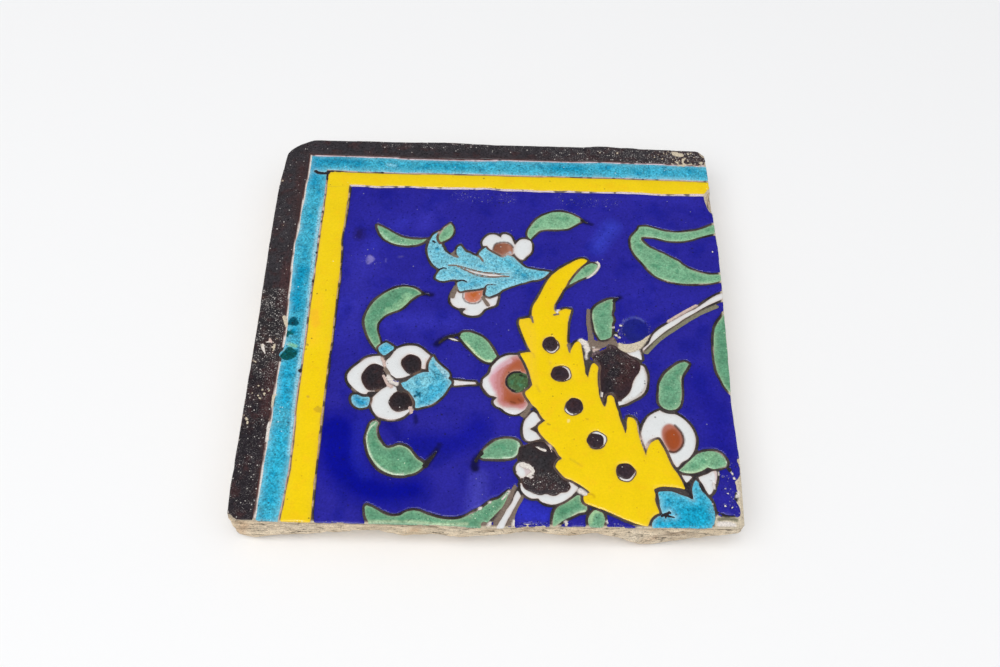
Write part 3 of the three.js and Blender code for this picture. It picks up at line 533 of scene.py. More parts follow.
    ("turquoise", "32,98.6 46,98.6", 5, 5, (0, 140, 176), 5, 0.9),
    ("turquoise", "-34,99 -16,98.4", 5, 4, (16, 148, 180), 5, 0.8),
    ("turquoise", "90,98.6 110,99", 4, 4, (50, 156, 190), 5, 0.6),
    ("turquoise", "-96,82 -97,96", 4, 6, (0, 142, 184), 5, 0.9),
    ("turquoise", "-101.8,-28.4 -100.2,-25.6 -98.8,-23.4 -96.6,-23.2 -95,-24.4 -93.2,-24.8 "
     "-93.2,-26.6 -94.6,-29.4 -97.6,-31 -100.4,-30.2", 0, 0, (6, 80, 80), 0.4, 1),
    ("turquoise", "-100.4,-9.6 -99.4,-6.4 -97.6,-5 -96.2,-5.6 -95,-7.6 -94.4,-9.4 -96,-10.6 "
     "-98.4,-10.2", 0, 0, (4, 76, 92), 0.5, 1),
    ("turquoise", "-100.6,-12.6 -98.6,-13.6 -97.2,-12.4 -95.9,-13.2 -96.2,-15.6 -98.4,-15.8 "
     "-98.8,-17.4 -100.2,-16.6", 0, 0, (8, 88, 90), 0.5, 1),
    ("turquoise", "-101.4,-52.4 -101.4,-56.4", 1, 1, (14, 70, 72), 0.8, 0.9),
]

# Where the glaze is worn or pitted: glaze, points, width at each end, softness, strength
worn = [
    ("cobalt", "-20,77 8,76", 3, 4, 5, 0.6), ("cobalt", "36,76 64,76", 3, 3, 5, 0.5),
    ("cobalt", "112,-84 110,-106", 4, 4, 5, 0.3), ("cobalt", "-64,32 -60,30", 3, 3, 4, 0.6),
    ("cobalt", "66,-14 64.4,-8 66,-2 70,0.4 75,-0.4 78.6,-4.6 78.4,-9", 0.7, 0.7, 1.4, 1),
    ("cobalt", "-10,-113 6,-104", 1, 1, 3, 0.9), ("cobalt", "62,-59 70,-56", 2, 2, 3, 0.5),
    ("cobalt", "14,-115 72,-114.5", 1.2, 1.2, 2, 0.7),
    ("black", "70,111 116,110.5", 9, 9, 6, 0.7), ("black", "93,110 112,109", 5, 6, 4, 1),
    ("black", "-108,6 -108,-34", 10, 12, 5, 0.85), ("black", "30,111 70,111", 6, 6, 8, 0.5),
    ("black", "-108,-34 -110,-110", 10, 10, 6, 0.35),
    ("black", "-114,92 -100,112", 5, 5, 6, 0.15), ("black", "20,-92 36,-96", 7, 7, 4, 0.5),
    ("black", "54,-22 66,-24 58,-40", 8, 6, 4, 0.3),
    ("black", "-108,85 -108,30", 8, 8, 6, 0.12), ("black", "-60,113.5 20,113.5", 2, 2, 4, 0.5),
    ("turquoise", "-96,-60 -96,-70", 3, 3, 5, 0.3),
    ("white", "74.6,-30 73.4,-42 67,-48", 3, 2, 3, 0.5),
    ("green", "-30,-114 4,-108", 3, 3, 3, 0.5),
]

# Sizes of the glaze's relief, in millimetres
relief = {
    "gridReach": 118.2,  # how far the grids go from the middle of the picture
    "fineStep": 0.6,  # grid of the glazes and the line
    "wideStep": 0.75,  # grid of the cobalt ground
    "lineDrop": 0.42,  # how far the drawn line lies below the face
    "clayDrop": 0.8,  # and the clay under the glaze
    "glazeFoot": 1.0,  # and the underside of the glaze and of the line
    "edgeRound": 1.3,  # distance over which a glaze rises from its edge
    "edgeStart": 0.06,  # how far a glaze's very edge stands above the line
    "sheetReach": 0.4,  # how far the line runs on under the glaze
    "partX": -84.5, "partY": 88,  # the middle of the yellow band, where the line is parted
    "handWobble": 0.16,  # unevenness of the drawn edges
    "borderSway": 0.22,  # and of the border's lines
    "edgeWear": 0.22,  # raggedness of the glaze along the broken outline
    "brokenLoss": 0.45, "brokenReach": 0.5,  # share of its height lost there, and how far in
    "rimWear": 0.7, "rimWearReach": 1.6,  # wear along the outline, and how far in it goes
    "wornLoss": 0.25,  # share of its height lost where it is worn
    "wornRough": 0.07, "wornSize": 1.5,  # and its unevenness there
    "swell": 0.05, "swellSize": 16,  # slow swells of a glaze
    "ripple": 0.02, "rippleSize": 3.1,  # and its small ripples
    "evenEdge": 0.8,  # distance over which both set in from its edge
    "lineRough": 0.05, "lineRoughSize": 2,  # unevenness of the drawn line
}
glazeRise = {"cobalt": 0.42, "yellow": 0.52, "turquoise": 0.5, "green": 0.5, "white": 0.46,
             "black": 0.36}
groundColours = {"cobalt": (42, 38, 152), "yellow": (241, 207, 20), "turquoise": (62, 170, 198),
                 "green": greens["leaf"], "white": (224, 226, 226), "black": (54, 51, 55)}
farAway = 6.0  # distances to a shape are worked out up to this many millimetres


# An 8-bit colour as the eye sees it, in linear light: ((c + 0.055) / 1.055) to the power 2.4.
def linear(colour):
    share = np.asarray(colour, float) / 255
    return np.where(share <= 0.04045, share / 12.92, ((share + 0.055) / 1.055) ** 2.4)


# Soft noise between -1 and 1: random values at the corners of cubes of the given size,
# blended across each cube by 3t^2 - 2t^3.
def softNoise(x, y, z, size, seed):
    x, y, z = np.broadcast_arrays(*(np.asarray(axis, float) / size for axis in (x, y, z)))
    corner = [np.floor(axis).astype(np.int64) for axis in (x, y, z)]
    share = [axis - low for axis, low in zip((x, y, z), corner)]
    ease = [t * t * (3 - 2 * t) for t in share]
    total = np.zeros(x.shape)
    for step in np.ndindex(2, 2, 2):
        mixed = (corner[0] + step[0]) * 73856093 ^ (corner[1] + step[1]) * 19349663
        mixed ^= (corner[2] + step[2]) * 83492791 ^ seed * 2654435
        mixed = (mixed ^ (mixed >> 13)) * 1274126177
        mixed ^= mixed >> 15
        value = (mixed & 65535) / 32767.5 - 1
        weight = np.ones(x.shape)
        for axis in range(3):
            weight = weight * (ease[axis] if step[axis] else 1 - ease[axis])
        total += value * weight
    return total


# Several sizes of soft noise on top of each other, each half the size and half the strength.
def layeredNoise(x, y, z, size, seed, layers=3):
    total = sum(softNoise(x, y, z, size / 2 ** k, seed + k) / 2 ** k for k in range(layers))
    return total / (2 - 0.5 ** (layers - 1))


# Goes from 0 to 1 as the value does, by 3t^2 - 2t^3.
def smoothStep(value):
    value = np.clip(value, 0, 1)
    return value * value * (3 - 2 * value)


def readPoints(text):
    return np.array([[float(part) for part in pair.split(",")] for pair in text.split()])


# Catmull-Rom curve: each stretch between two points is a cubic whose slope at a point is half
# the step from the point before it to the point after it.
def curveThrough(points, closed, steps=6):
    if closed:
        before, start, end, after = [np.roll(points, k, axis=0) for k in (1, 0, -1, -2)]
    else:
        first, last = 2 * points[0] - points[1], 2 * points[-1] - points[-2]
        padded = np.vstack([first, points, last])
        before, start, end, after = padded[:-3], padded[1:-2], padded[2:-1], padded[3:]
    t = (np.arange(steps) / steps)[None, :, None]
    before, start, end, after = [p[:, None, :] for p in (before, start, end, after)]
    curve = 0.5 * (2 * start + (end - before) * t
                   + (2 * before - 5 * start + 4 * end - after) * t ** 2
                   + (3 * start - before - 3 * end + after) * t ** 3)
    return curve.reshape(-1, 2)


# A closed outline: one smooth loop, or smooth runs that meet at corners.
def closedOutline(text):
    runs = [readPoints(run) for run in text.split("|") if run.strip()]
    if "|" not in text:
        return curveThrough(runs[0], closed=True)
    nexts = runs[1:] + runs[:1]
    return np.vstack([curveThrough(np.vstack([run, after[:1]]), closed=False)
                      for run, after in zip(runs, nexts)])


# A hand-drawn disc: an ellipse whose radius wavers by a few hundredths round the turn.
def discOutline(x, y, across, along, tilt):
    turn = np.linspace(0, 2 * np.pi, 40, endpoint=False)
    waver = 1 + 0.04 * np.sin(3 * turn + x) + 0.03 * np.sin(5 * turn + y)
    flat = np.stack([across * waver * np.cos(turn), along * waver * np.sin(turn)])
    lean = np.radians(tilt)
    spin = np.array([[np.cos(lean), -np.sin(lean)], [np.sin(lean), np.cos(lean)]])
    return (spin @ flat).T + [x, y]


# A square grid over the whole face.
def makeGrid(step):
    line = np.arange(-relief["gridReach"], relief["gridReach"] + 0.1, step)
    x, y = np.meshgrid(line, line)
    return {"step": step, "line": line, "x": x, "y": y}


# The rows and columns of the grid round some points.
def windowOf(grid, points, margin):
    low, high = points.min(0) - margin, points.max(0) + margin
    columns = slice(*np.searchsorted(grid["line"], [low[0], high[0]]))
    rows = slice(*np.searchsorted(grid["line"], [low[1], high[1]]))
    return rows, columns


# Distance from each node to the nearest of the segments from start to end, with the share of
# the way along that segment, and whether an odd number of segments lies to the node's right.
def nearestSegment(x, y, start, end):
    step = end - start
    length = np.maximum((step ** 2).sum(1), 1e-9)
    far = np.empty(x.size)
    share = np.empty(x.size)
    nearest = np.empty(x.size, int)
    odd = np.empty(x.size, bool)
    for part in np.array_split(np.arange(x.size), max(1, x.size * len(start) // 1500000)):
        dx = x[part, None] - start[:, 0]
        dy = y[part, None] - start[:, 1]
        along = np.clip((dx * step[:, 0] + dy * step[:, 1]) / length, 0, 1)
        gap = np.hypot(dx - along * step[:, 0], dy - along * step[:, 1])
        pick = gap.argmin(1)
        row = np.arange(part.size)
        far[part], share[part], nearest[part] = gap[row, pick], along[row, pick], pick
        crosses = (start[:, 1] > y[part, None]) != (end[:, 1] > y[part, None])
        rise = np.where(step[:, 1] == 0, 1e-9, step[:, 1])
        reaches = dx < dy * step[:, 0] / rise
        odd[part] = (crosses & reaches).sum(1) % 2 == 1
    return far, share, nearest, odd


# Millimetres inside a closed outline, minus outside it, as far as the margin.
def insideLoop(grid, loop, margin=farAway):
    field = np.full(grid["x"].shape, -margin)
    window = windowOf(grid, loop, margin)
    x, y = grid["x"][window], grid["y"][window]
    far, _, _, odd = nearestSegment(x.ravel(), y.ravel(), loop, np.roll(loop, -1, axis=0))
    field[window] = np.where(odd, far, -far).reshape(x.shape)
    return field


# Millimetres inside a brush mark whose width goes evenly from one end to the other.
def insideMark(grid, points, startWidth, endWidth, margin=farAway):
    points = curveThrough(points, closed=False, steps=4) if len(points) > 2 else points
    field = np.full(grid["x"].shape, -margin)
    window = windowOf(grid, points, margin + max(startWidth, endWidth))
    x, y = grid["x"][window], grid["y"][window]
    start, end = points[:-1], points[1:]
    far, share, nearest, _ = nearestSegment(x.ravel(), y.ravel(), start, end)
    run = np.concatenate([[0], np.cumsum(np.hypot(*(end - start).T))])
    way = (run[nearest] + share * (run[nearest + 1] - run[nearest])) / run[-1]
    width = startWidth + (endWidth - startWidth) * way
    field[window] = (width / 2 - far).reshape(x.shape)
    return field


# A mark where it has a width, otherwise the union of its closed loops.
def insideShape(grid, text, startWidth=0, endWidth=0, margin=farAway):
    if startWidth:
        return insideMark(grid, readPoints(text), startWidth, endWidth, margin)
    loops = [closedOutline(loop) for loop in text.split(";")]
    return np.maximum.reduce([insideLoop(grid, loop, margin) for loop in loops])


# The union of a motif's loops or discs.
def insideMotif(grid, motif):
    if "line" in motif:
        return insideShape(grid, motif["line"])
    discs = motif["disc"] if isinstance(motif["disc"], list) else [motif["disc"]]
    return np.maximum.reduce([insideLoop(grid, discOutline(*disc)) for disc in discs])


# A property of all of a mesh's parts as one array, with a row for each part.
def readAll(parts, key, width=1, kind=float):
    values = np.empty(len(parts) * width, kind)
    parts.foreach_get(key, values)
    return values.reshape(-1, width) if width > 1 else values


# The segments where the tile's CAD solid is cut level, at a depth below the face.
def levelCut(depth):
    mesh = tileNode.data
    mesh.calc_loop_triangles()
    places = readAll(mesh.vertices, "co", 3) / mm
    solid = places[readAll(mesh.loop_triangles, "vertices", 3, np.int32)]
    height = solid[:, :, 2] - (faceLevel - depth)
    solid, height = [a[(height.min(1) < 0) & (height.max(1) > 0)] for a in (solid, height)]
    ends = []
    for first, second in ((0, 1), (1, 2), (2, 0)):
        low, high = height[:, first], height[:, second]
        crossed = (low < 0) != (high < 0)
        share = np.where(crossed, low / np.where(crossed, low - high, 1), np.nan)[:, None]
        ends.append(solid[:, first, :2] * (1 - share) + solid[:, second, :2] * share)
    ends = np.stack(ends, axis=1)
    kept = ends[~np.isnan(ends[:, :, 0])].reshape(-1, 2, 2)
    return kept[:, 0] - pictureShift, kept[:, 1] - pictureShift


# Millimetres inside the tile's worn outline, up to the deepest. Only nodes that lie further
# from the middle than rimFrom are worked out.
def insideOutline(grid, depth=0.6, deepest=12.0, rimFrom=102):
    start, end = levelCut(depth)
    x, y = grid["x"], grid["y"]
    field = np.full(x.shape, deepest)
    rim = np.maximum(np.abs(x), np.abs(y)) > rimFrom
    far, _, _, odd = nearestSegment(x[rim], y[rim], start, end)
    field[rim] = np.clip(np.where(odd, far, -far), -farAway, deepest)
    return field


# Millimetres inside a line of the border, counted from its middle, and where its back run is.
def insideBorder(grid, border, seed):
    left, back = readPoints(border["left"]), readPoints(border["back"])
    fromLeft = grid["x"] - np.interp(grid["y"], left[:, 0], left[:, 1])
    fromBack = np.interp(grid["x"], back[:, 0], back[:, 1]) - grid["y"]
    sway = relief["borderSway"] * layeredNoise(grid["x"], grid["y"], 0, 9, seed)
    return np.minimum(fromLeft, fromBack) + sway, fromBack < fromLeft


print("stage: drawing")
grid = makeGrid(relief["fineStep"])
gridX, gridY = grid["x"], grid["y"]
wobble = relief["handWobble"] * layeredNoise(gridX, gridY, 0, 4, 11)
outline = insideOutline(grid)
wornOutline = outline - relief["edgeWear"] * (0.8 + layeredNoise(gridX, gridY, 0, 5, 21))
borders, onBack = zip(*[insideBorder(grid, line, 31 + k) for k, line in enumerate(borderLines)])
halves = [line["half"] * (1 + 0.4 * layeredNoise(gridX, gridY, 0, 7, 23 + k))
          for k, line in enumerate(borderLines)]
bands = [
    ("black", -borders[0] - halves[0]),
    ("turquoise", np.minimum(borders[0] - halves[0], -borders[1] - halves[1])),
    ("yellow", np.minimum(borders[1] - halves[1], -borders[2] - halves[2])),
    ("cobalt", borders[2] - halves[2]),
]
markFields = []
covered = np.full(gridX.shape, -farAway)  # millimetres inside what lies above, its line too


# One bared mark lies above all the glazes.
def layMark(field, colour):
    markFields.append((field, colour))
    covered[:] = np.maximum(covered, field)


for text, startWidth, endWidth, colour, ragged in marks:
    mark = insideShape(grid, text, startWidth, endWidth)
    layMark(mark + ragged * layeredNoise(gridX, gridY, 0, 2.2, len(text)), colour)

chipSwell = 1 + 0.6 * softNoise(gridX, gridY, 0, 1.3, 29)
for colour, text in chips:
    for x, y, radius in readPoints(text):
        chip = radius * chipSwell - np.hypot(gridX - x, gridY - y)
        layMark(np.minimum(chip, outline + 0.1), colour)

# Flaking is where a crumbly noise rises above a level that rises away from the middle. Further
# out than chipEdge the field falls steeply, so that the glaze round a chip has its full height.
crumble = softNoise(gridX, gridY, 0, 1.5, 61) + 0.5 * softNoise(gridX, gridY, 0, 0.9, 67)
chipEdge, chipFall = -0.15, 9
for colour, x, y, reach, amount in flaked:
    away = np.hypot(gridX - x, gridY - y) / reach
    chip = 0.8 * (crumble - 0.9 + amount * (1 - away) - np.maximum(0, away - 1))
    steep = chipFall * chip - (chipFall - 1) * chipEdge
    layMark(np.minimum(np.where(chip < chipEdge, steep, chip), outline + 0.1), colour)

depths = {glaze: np.full(gridX.shape, -farAway) for glaze in glazeRise}
colours = {glaze: np.broadcast_to(linear(colour), gridX.shape + (3,)).copy()
           for glaze, colour in groundColours.items()}


# One patch joins its glaze, with its own colour where it is the nearest one.
def layPatch(glaze, shape, colour=None):
    nearer = shape > depths[glaze]
    depths[glaze] = np.maximum(depths[glaze], shape)
    colours[glaze][nearer] = linear(colour or groundColours[glaze])


besideMotif = np.full(gridX.shape, -farAway)
lineSwell = 1 + 0.3 * layeredNoise(gridX, gridY, 0, 6, 27)
for motif in reversed(motifs):
    shape = insideMotif(grid, motif) + wobble
    layPatch(motif["glaze"], np.minimum(shape, -covered), motif.get("colour"))
    covered = np.maximum(covered, shape + motif.get("gap", lineWide) * lineSwell)
    besideMotif = np.maximum(besideMotif, shape)
for glaze, shape in bands:
    layPatch(glaze, np.minimum(shape + wobble, -covered))


# Moves the line's colour towards one of the named ones by a share of the way.
def tintLine(colour, share):
    lineColour[:] += (linear(lineColours[colour]) - lineColour) * np.clip(share, 0, 1)[..., None]


# The line is ink towards the ground and brown or pale close to the motif it goes round.
lineLook = {
    "closeBy": 0.42, "closeRun": 0.4,  # how close that is, and over what width it sets in
    "closeSway": 0.35,  # how unevenly it does so
    "brownShare": 0.7, "dashShare": 0.8,
    "dashSize": 2.6,  # length of the border's dashes
    "halo": 0.7,  # how far a bared mark's colour spreads into the line
    "edgeFrom": 1.5, "edgeRun": 1.2,  # where the tile's outline bares it, and over what width
}
lineColour = np.broadcast_to(linear(lineColours["ink"]), gridX.shape + (3,)).copy()
lineNoise = layeredNoise(gridX, gridY, 0, 5, 41)
tintLine("line", smoothStep(0.5 + 0.9 * layeredNoise(gridX, gridY, 0, 7, 43)))
closeBy = besideMotif + lineLook["closeBy"] + lineLook["closeSway"] * lineNoise
closeBy = smoothStep(closeBy / lineLook["closeRun"])
browned = smoothStep(0.7 + layeredNoise(gridX, gridY, 0, 6, 45))
tintLine("brown", lineLook["brownShare"] * closeBy * browned)
tintLine("rose", closeBy * smoothStep(2.2 * layeredNoise(gridX, gridY, 0, 9, 47) - 0.45))
for border, back, line in zip(borders, onBack, borderLines):
    for run, (outer, inner, dashes) in ((~back, line["leftColours"]), (back, line["backColours"])):
        onLine = run & (np.abs(border) < 2) & (besideMotif < -2)
        inward = smoothStep((border + 0.3 * lineNoise) / 0.3 + 0.5)
        broken = softNoise(gridX, gridY, 0, lineLook["dashSize"], 53)
        dashed = smoothStep(3 * (broken + 2 * dashes - 1.3))
        tintLine(outer, onLine)
        tintLine(inner, onLine * inward)
        tintLine("ink", onLine * dashed * lineLook["dashShare"])
for mark, colour in markFields:
    tintLine(colour, smoothStep(mark / lineLook["halo"] + 1))

for glaze, text, startWidth, endWidth, colour, softness, strength in brushworkAndHighlight:
    touch = insideShape(grid, text, startWidth, endWidth, margin=softness + 6)
    share = smoothStep(touch / softness + 0.5) * strength
    colours[glaze] += (linear(colour) - colours[glaze]) * share[..., None]
wear = {glaze: np.zeros(gridX.shape) for glaze in glazeRise}
for glaze, text, startWidth, endWidth, softness, strength in worn:
    touch = insideShape(grid, text, startWidth, endWidth, margin=softness + 6)
    wear[glaze] = np.maximum(wear[glaze], smoothStep(touch / softness + 0.8) * strength)
nearRim = smoothStep(1 - outline / relief["rimWearReach"])
for glaze in wear:
    wear[glaze] = np.maximum(wear[glaze], relief["rimWear"] * nearRim)


# Values of a grid's field at other places, blended between the four nodes round each.
def sampled(source, field, x, y):
    line = source["line"]
    column = np.clip((x - line[0]) / source["step"], 0, len(line) - 1.001)
    row = np.clip((y - line[0]) / source["step"], 0, len(line) - 1.001)
    left, low = np.floor(column).astype(int), np.floor(row).astype(int)
    across, up = column - left, row - low
    if field.ndim == 3:
        across, up = across[..., None], up[..., None]
    near = field[low, left] * (1 - across) + field[low, left + 1] * across
    far = field[low + 1, left] * (1 - across) + field[low + 1, left + 1] * across
    return near * (1 - up) + far * up


# The triangles of the grid where a field is above zero, cut straight across where it is zero,
# the edges of that cut, and each node's values there.
def cutGrid(size, step, field, values):
    rows, columns = size
    flat = field.ravel()
    small = 0.1 * step  # no cut runs closer to a node than this, which would make slivers
    flat = np.where(np.abs(flat) < small, np.where(flat < 0, -small, small), flat)
    a = (np.arange(rows - 1)[:, None] * columns + np.arange(columns - 1)).ravel()
    b, c, d = a + 1, a + columns + 1, a + columns
    even = ((a // columns + a % columns) % 2 == 0)[:, None]
    triangles = np.vstack([
        np.where(even, np.stack([a, b, c], 1), np.stack([a, b, d], 1)),
        np.where(even, np.stack([a, c, d], 1), np.stack([b, c, d], 1)),
    ])
    above = flat[triangles] > 0
    count = above.sum(1)

    def turned(chosen, first):
        order = (first[:, None] + np.arange(3)) % 3
        return np.take_along_axis(triangles[chosen], order, 1)

    one = turned(count == 1, above[count == 1].argmax(1))
    two = turned(count == 2, (~above[count == 2]).argmax(1))
    ends = np.sort(np.vstack([one[:, :2], one[:, ::2], two[:, :2], two[:, ::2]]), axis=1)
    keys, place = np.unique(ends[:, 0] * flat.size + ends[:, 1], return_inverse=True)
    low, high = keys // flat.size, keys % flat.size
    share = (flat[low] / (flat[low] - flat[high]))[:, None]
    cut = flat.size + place.ravel()
    oneA, oneB, twoA, twoB = np.split(cut, np.cumsum([len(one), len(one), len(two)]))
    faces = np.vstack([
        triangles[count == 3],
        np.stack([one[:, 0], oneA, oneB], 1),
        np.stack([twoA, two[:, 1], two[:, 2]], 1),
        np.stack([twoA, two[:, 2], twoB], 1),
    ])
    rim = np.vstack([np.stack([oneA, oneB], 1), np.stack([twoB, twoA], 1)])
    values = values.reshape(flat.size, -1)
    values = np.vstack([values, values[low] * (1 - share) + values[high] * share])
    kept, faces = np.unique(faces, return_inverse=True)
    renumbered = np.full(flat.size + len(keys), -1)
    renumbered[kept] = np.arange(len(kept))
    return faces.reshape(-1, 3), renumbered[rim], values[kept]


# Each vertex's colour, in linear light.
def storeColour(mesh, key, values):
    layer = mesh.attributes.new(key, "FLOAT_COLOR", "POINT")
    full = np.hstack([values, np.ones((len(values), 1))])
    layer.data.foreach_set("color", full.astype(np.float32).ravel())


# The piece's object, with its bake map and what the frame has to know about it.
def placePiece(name, mesh, bakeMap):
    uv = mesh.uv_layers.new(name="OFBake")
    uv.uv.foreach_set("vector", bakeMap.astype(np.float32).ravel())
    piece = bpy.data.objects.new(name, mesh)
    bpy.context.scene.collection.objects.link(piece)
    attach(piece, "root")
    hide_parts("tile")
    print("piece:", name, len(mesh.polygons))
    return piece


# A mesh of triangles with its place in the mesh. Points are in millimetres.
def makePiece(name, points, faces, smooth, bakeMap, attributes):
    mesh = bpy.data.meshes.new(name)
    mesh.vertices.add(len(points))
    mesh.vertices.foreach_set("co", (points * mm).astype(np.float32).ravel())
    mesh.loops.add(faces.size)
    mesh.loops.foreach_set("vertex_index", faces.astype(np.int32).ravel())
    mesh.polygons.add(len(faces))
    mesh.polygons.foreach_set("loop_start", np.arange(0, faces.size, 3, dtype=np.int32))
    mesh.polygons.foreach_set("use_smooth", smooth)
    mesh.update(calc_edges=True)
    for key, values in attributes.items():
        if values.ndim == 2:
            storeColour(mesh, key, values)
        else:
            layer = mesh.attributes.new(key, "FLOAT", "POINT")
            layer.data.foreach_set("value", values.astype(np.float32))
    return placePiece(name, mesh, bakeMap)


# A thin closed body over a cut grid: its top at the given heights, its underside flat, and an
# upright wall between them. In the bake map the top has all but a narrow strip at the side.
def makeSheet(name, cut, top, attributes):
    faces, rim, flat = cut
    count = len(flat)
    underside = faceLevel - relief["glazeFoot"]
    upper = np.column_stack([flat, top])
    lower = np.column_stack([flat, np.full(count, underside)])
    start, end = rim.T
    walls = np.vstack([np.stack([end, start, start + count], 1),
                       np.stack([end, start + count, end + count], 1)])
    every = np.vstack([faces, faces[:, ::-1] + count, walls])
    smooth = np.arange(len(every)) < len(faces)
    points = np.vstack([upper, lower])
    points[:, :2] += pictureShift
    corners = points[every.ravel(), :2]
    span = (flat.max(0) - flat.min(0)).max()
    bakeMap = (corners - points[:, :2].min(0)) / span
    onTop = np.repeat(smooth, 3)[:, None]
    bakeMap = np.where(onTop, 0.005 + 0.95 * bakeMap, [0.965, 0.005] + bakeMap * [0.03, 0.95])
    doubled = {key: np.concatenate([values, values]) for key, values in attributes.items()}
    return makePiece(name, points, every, smooth, bakeMap, doubled)


# A glaze rises from its edge as 1 - e^(-distance / edgeRound), to its full height, over slow
# swells, and stays low where the tile's outline has broken it.
def glazePiece(glaze, name, step):
    local = makeGrid(step)
    x, y = local["x"], local["y"]
    depth = sampled(grid, depths[glaze], x, y)
    rimGap = sampled(grid, wornOutline, x, y)
    field = np.minimum(depth, rimGap)
    paint = sampled(grid, colours[glaze], x, y)
    wearing = sampled(grid, wear[glaze], x, y)
    values = np.stack([x, y, depth, rimGap, wearing], axis=-1)
    values = np.concatenate([values, paint], axis=-1)
    faces, rim, kept = cutGrid(x.shape, step, field, values)
    x, y, depth, rimGap, wearing = kept[:, :5].T
    depth, rimGap = np.maximum(depth, 0), np.maximum(rimGap, 0)
    rise = glazeRise[glaze] * (1 - np.exp(-depth / relief["edgeRound"]))
    rise = rise * (1 - relief["brokenLoss"] * np.exp(-rimGap / relief["brokenReach"]))
    rise = rise * (1 - relief["wornLoss"] * wearing)
    swell = (relief["swell"] * layeredNoise(x, y, 0, relief["swellSize"], 61)
             + relief["ripple"] * softNoise(x, y, 0, relief["rippleSize"], 71))
    rough = relief["wornRough"] * wearing * layeredNoise(x, y, 0, relief["wornSize"], 81)
    foot = faceLevel - relief["lineDrop"] + relief["edgeStart"]
    top = foot + rise + (swell + rough) * (1 - np.exp(-depth / relief["evenEdge"]))
    attributes = {"paint": kept[:, 5:8], "rim": np.minimum(depth, 12), "wear": wearing}
    return makeSheet(name, (faces, rim, kept[:, :2]), top, attributes)


print("stage: glazes")
glazePieces = {
    glaze: glazePiece(glaze, name, relief[step]) for glaze, name, step, slot in (
        ("cobalt", "cobaltGround", "wideStep", "cobalt_glaze"),
        ("yellow", "yellowGlaze", "fineStep", "yellow_glaze"),
        ("turquoise", "turquoiseGlaze", "fineStep", "turquoise_glaze"),
        ("green", "greenGlaze", "fineStep", "green_glaze"),
        ("white", "whiteGlaze", "fineStep", "white_glaze"),
        ("black", "blackGlaze", "fineStep", "black_glaze"))
}

print("stage: drawn line")
glazed = np.maximum.reduce(list(depths.values()))
glazed = np.minimum(glazed, wornOutline)
nearEdge = smoothStep((lineLook["edgeFrom"] - outline) / lineLook["edgeRun"])
tintLine("edge", nearEdge)
tintLine("clay", nearEdge * smoothStep((gridX - gridY) / 60 + 0.5))
lineField = np.minimum(outline - 0.1, relief["sheetReach"] - glazed)
lineValues = np.concatenate([np.stack([gridX, gridY], -1), lineColour], axis=-1)

# The line is made as two pieces that part under the middle of the yellow band: the lines of the
# border with the tile's bare edge, and the lines of the picture.
pictureGap = np.minimum(gridX - relief["partX"], relief["partY"] - gridY)
linePieces = []
for name, part in (("borderLine", -pictureGap), ("drawnLine", pictureGap)):
    faces, rim, kept = cutGrid(gridX.shape, grid["step"], np.minimum(lineField, part),
                               lineValues)
    rough = layeredNoise(kept[:, 0], kept[:, 1], 0, relief["lineRoughSize"], 91)
    top = faceLevel - relief["lineDrop"] + relief["lineRough"] * rough
    linePieces.append(makeSheet(name, (faces, rim, kept[:, :2]), top,
                                {"paint": kept[:, 2:5]}))

# The clay body keeps the form of the tile's CAD solid. Its sides and underside get a finer
# broken surface: three sizes of noise along the outward direction.
clay = {
    "cell": 1.5,  # size of the mesh's faces, in millimetres
    "broken": 0.75, "brokenSize": 7,  # large unevenness of the broken sides
    "grain": 0.42, "grainSize": 2.4,  # small crumbs and pits
    "layer": 0.55, "layerSize": 2.6, "layerStretch": 5,  # layers that lie flat in the clay
    "sound": 0.3,  # share of all three that is left right below the glaze
    "soundFrom": 1, "soundRun": 4,  # depth at which the rest sets in, and over what height
    "bedRise": 0.25, "bedSize": 9,  # hollows of the underside
    "base": (228, 205, 172), "pale": (244, 229, 204), "stain": (196, 148, 104),
    "shade": (136, 112, 88),
    "toneSize": 11, "stainSize": 8,  # patches of the clay's colours
    # The shade colour darkens the hollows of the broken sides as painted shade.
    "stainShare": 0.6, "hollowShadeShare": 0.6, "underGlazeShare": 0.55,  # strength of the darker ones
}


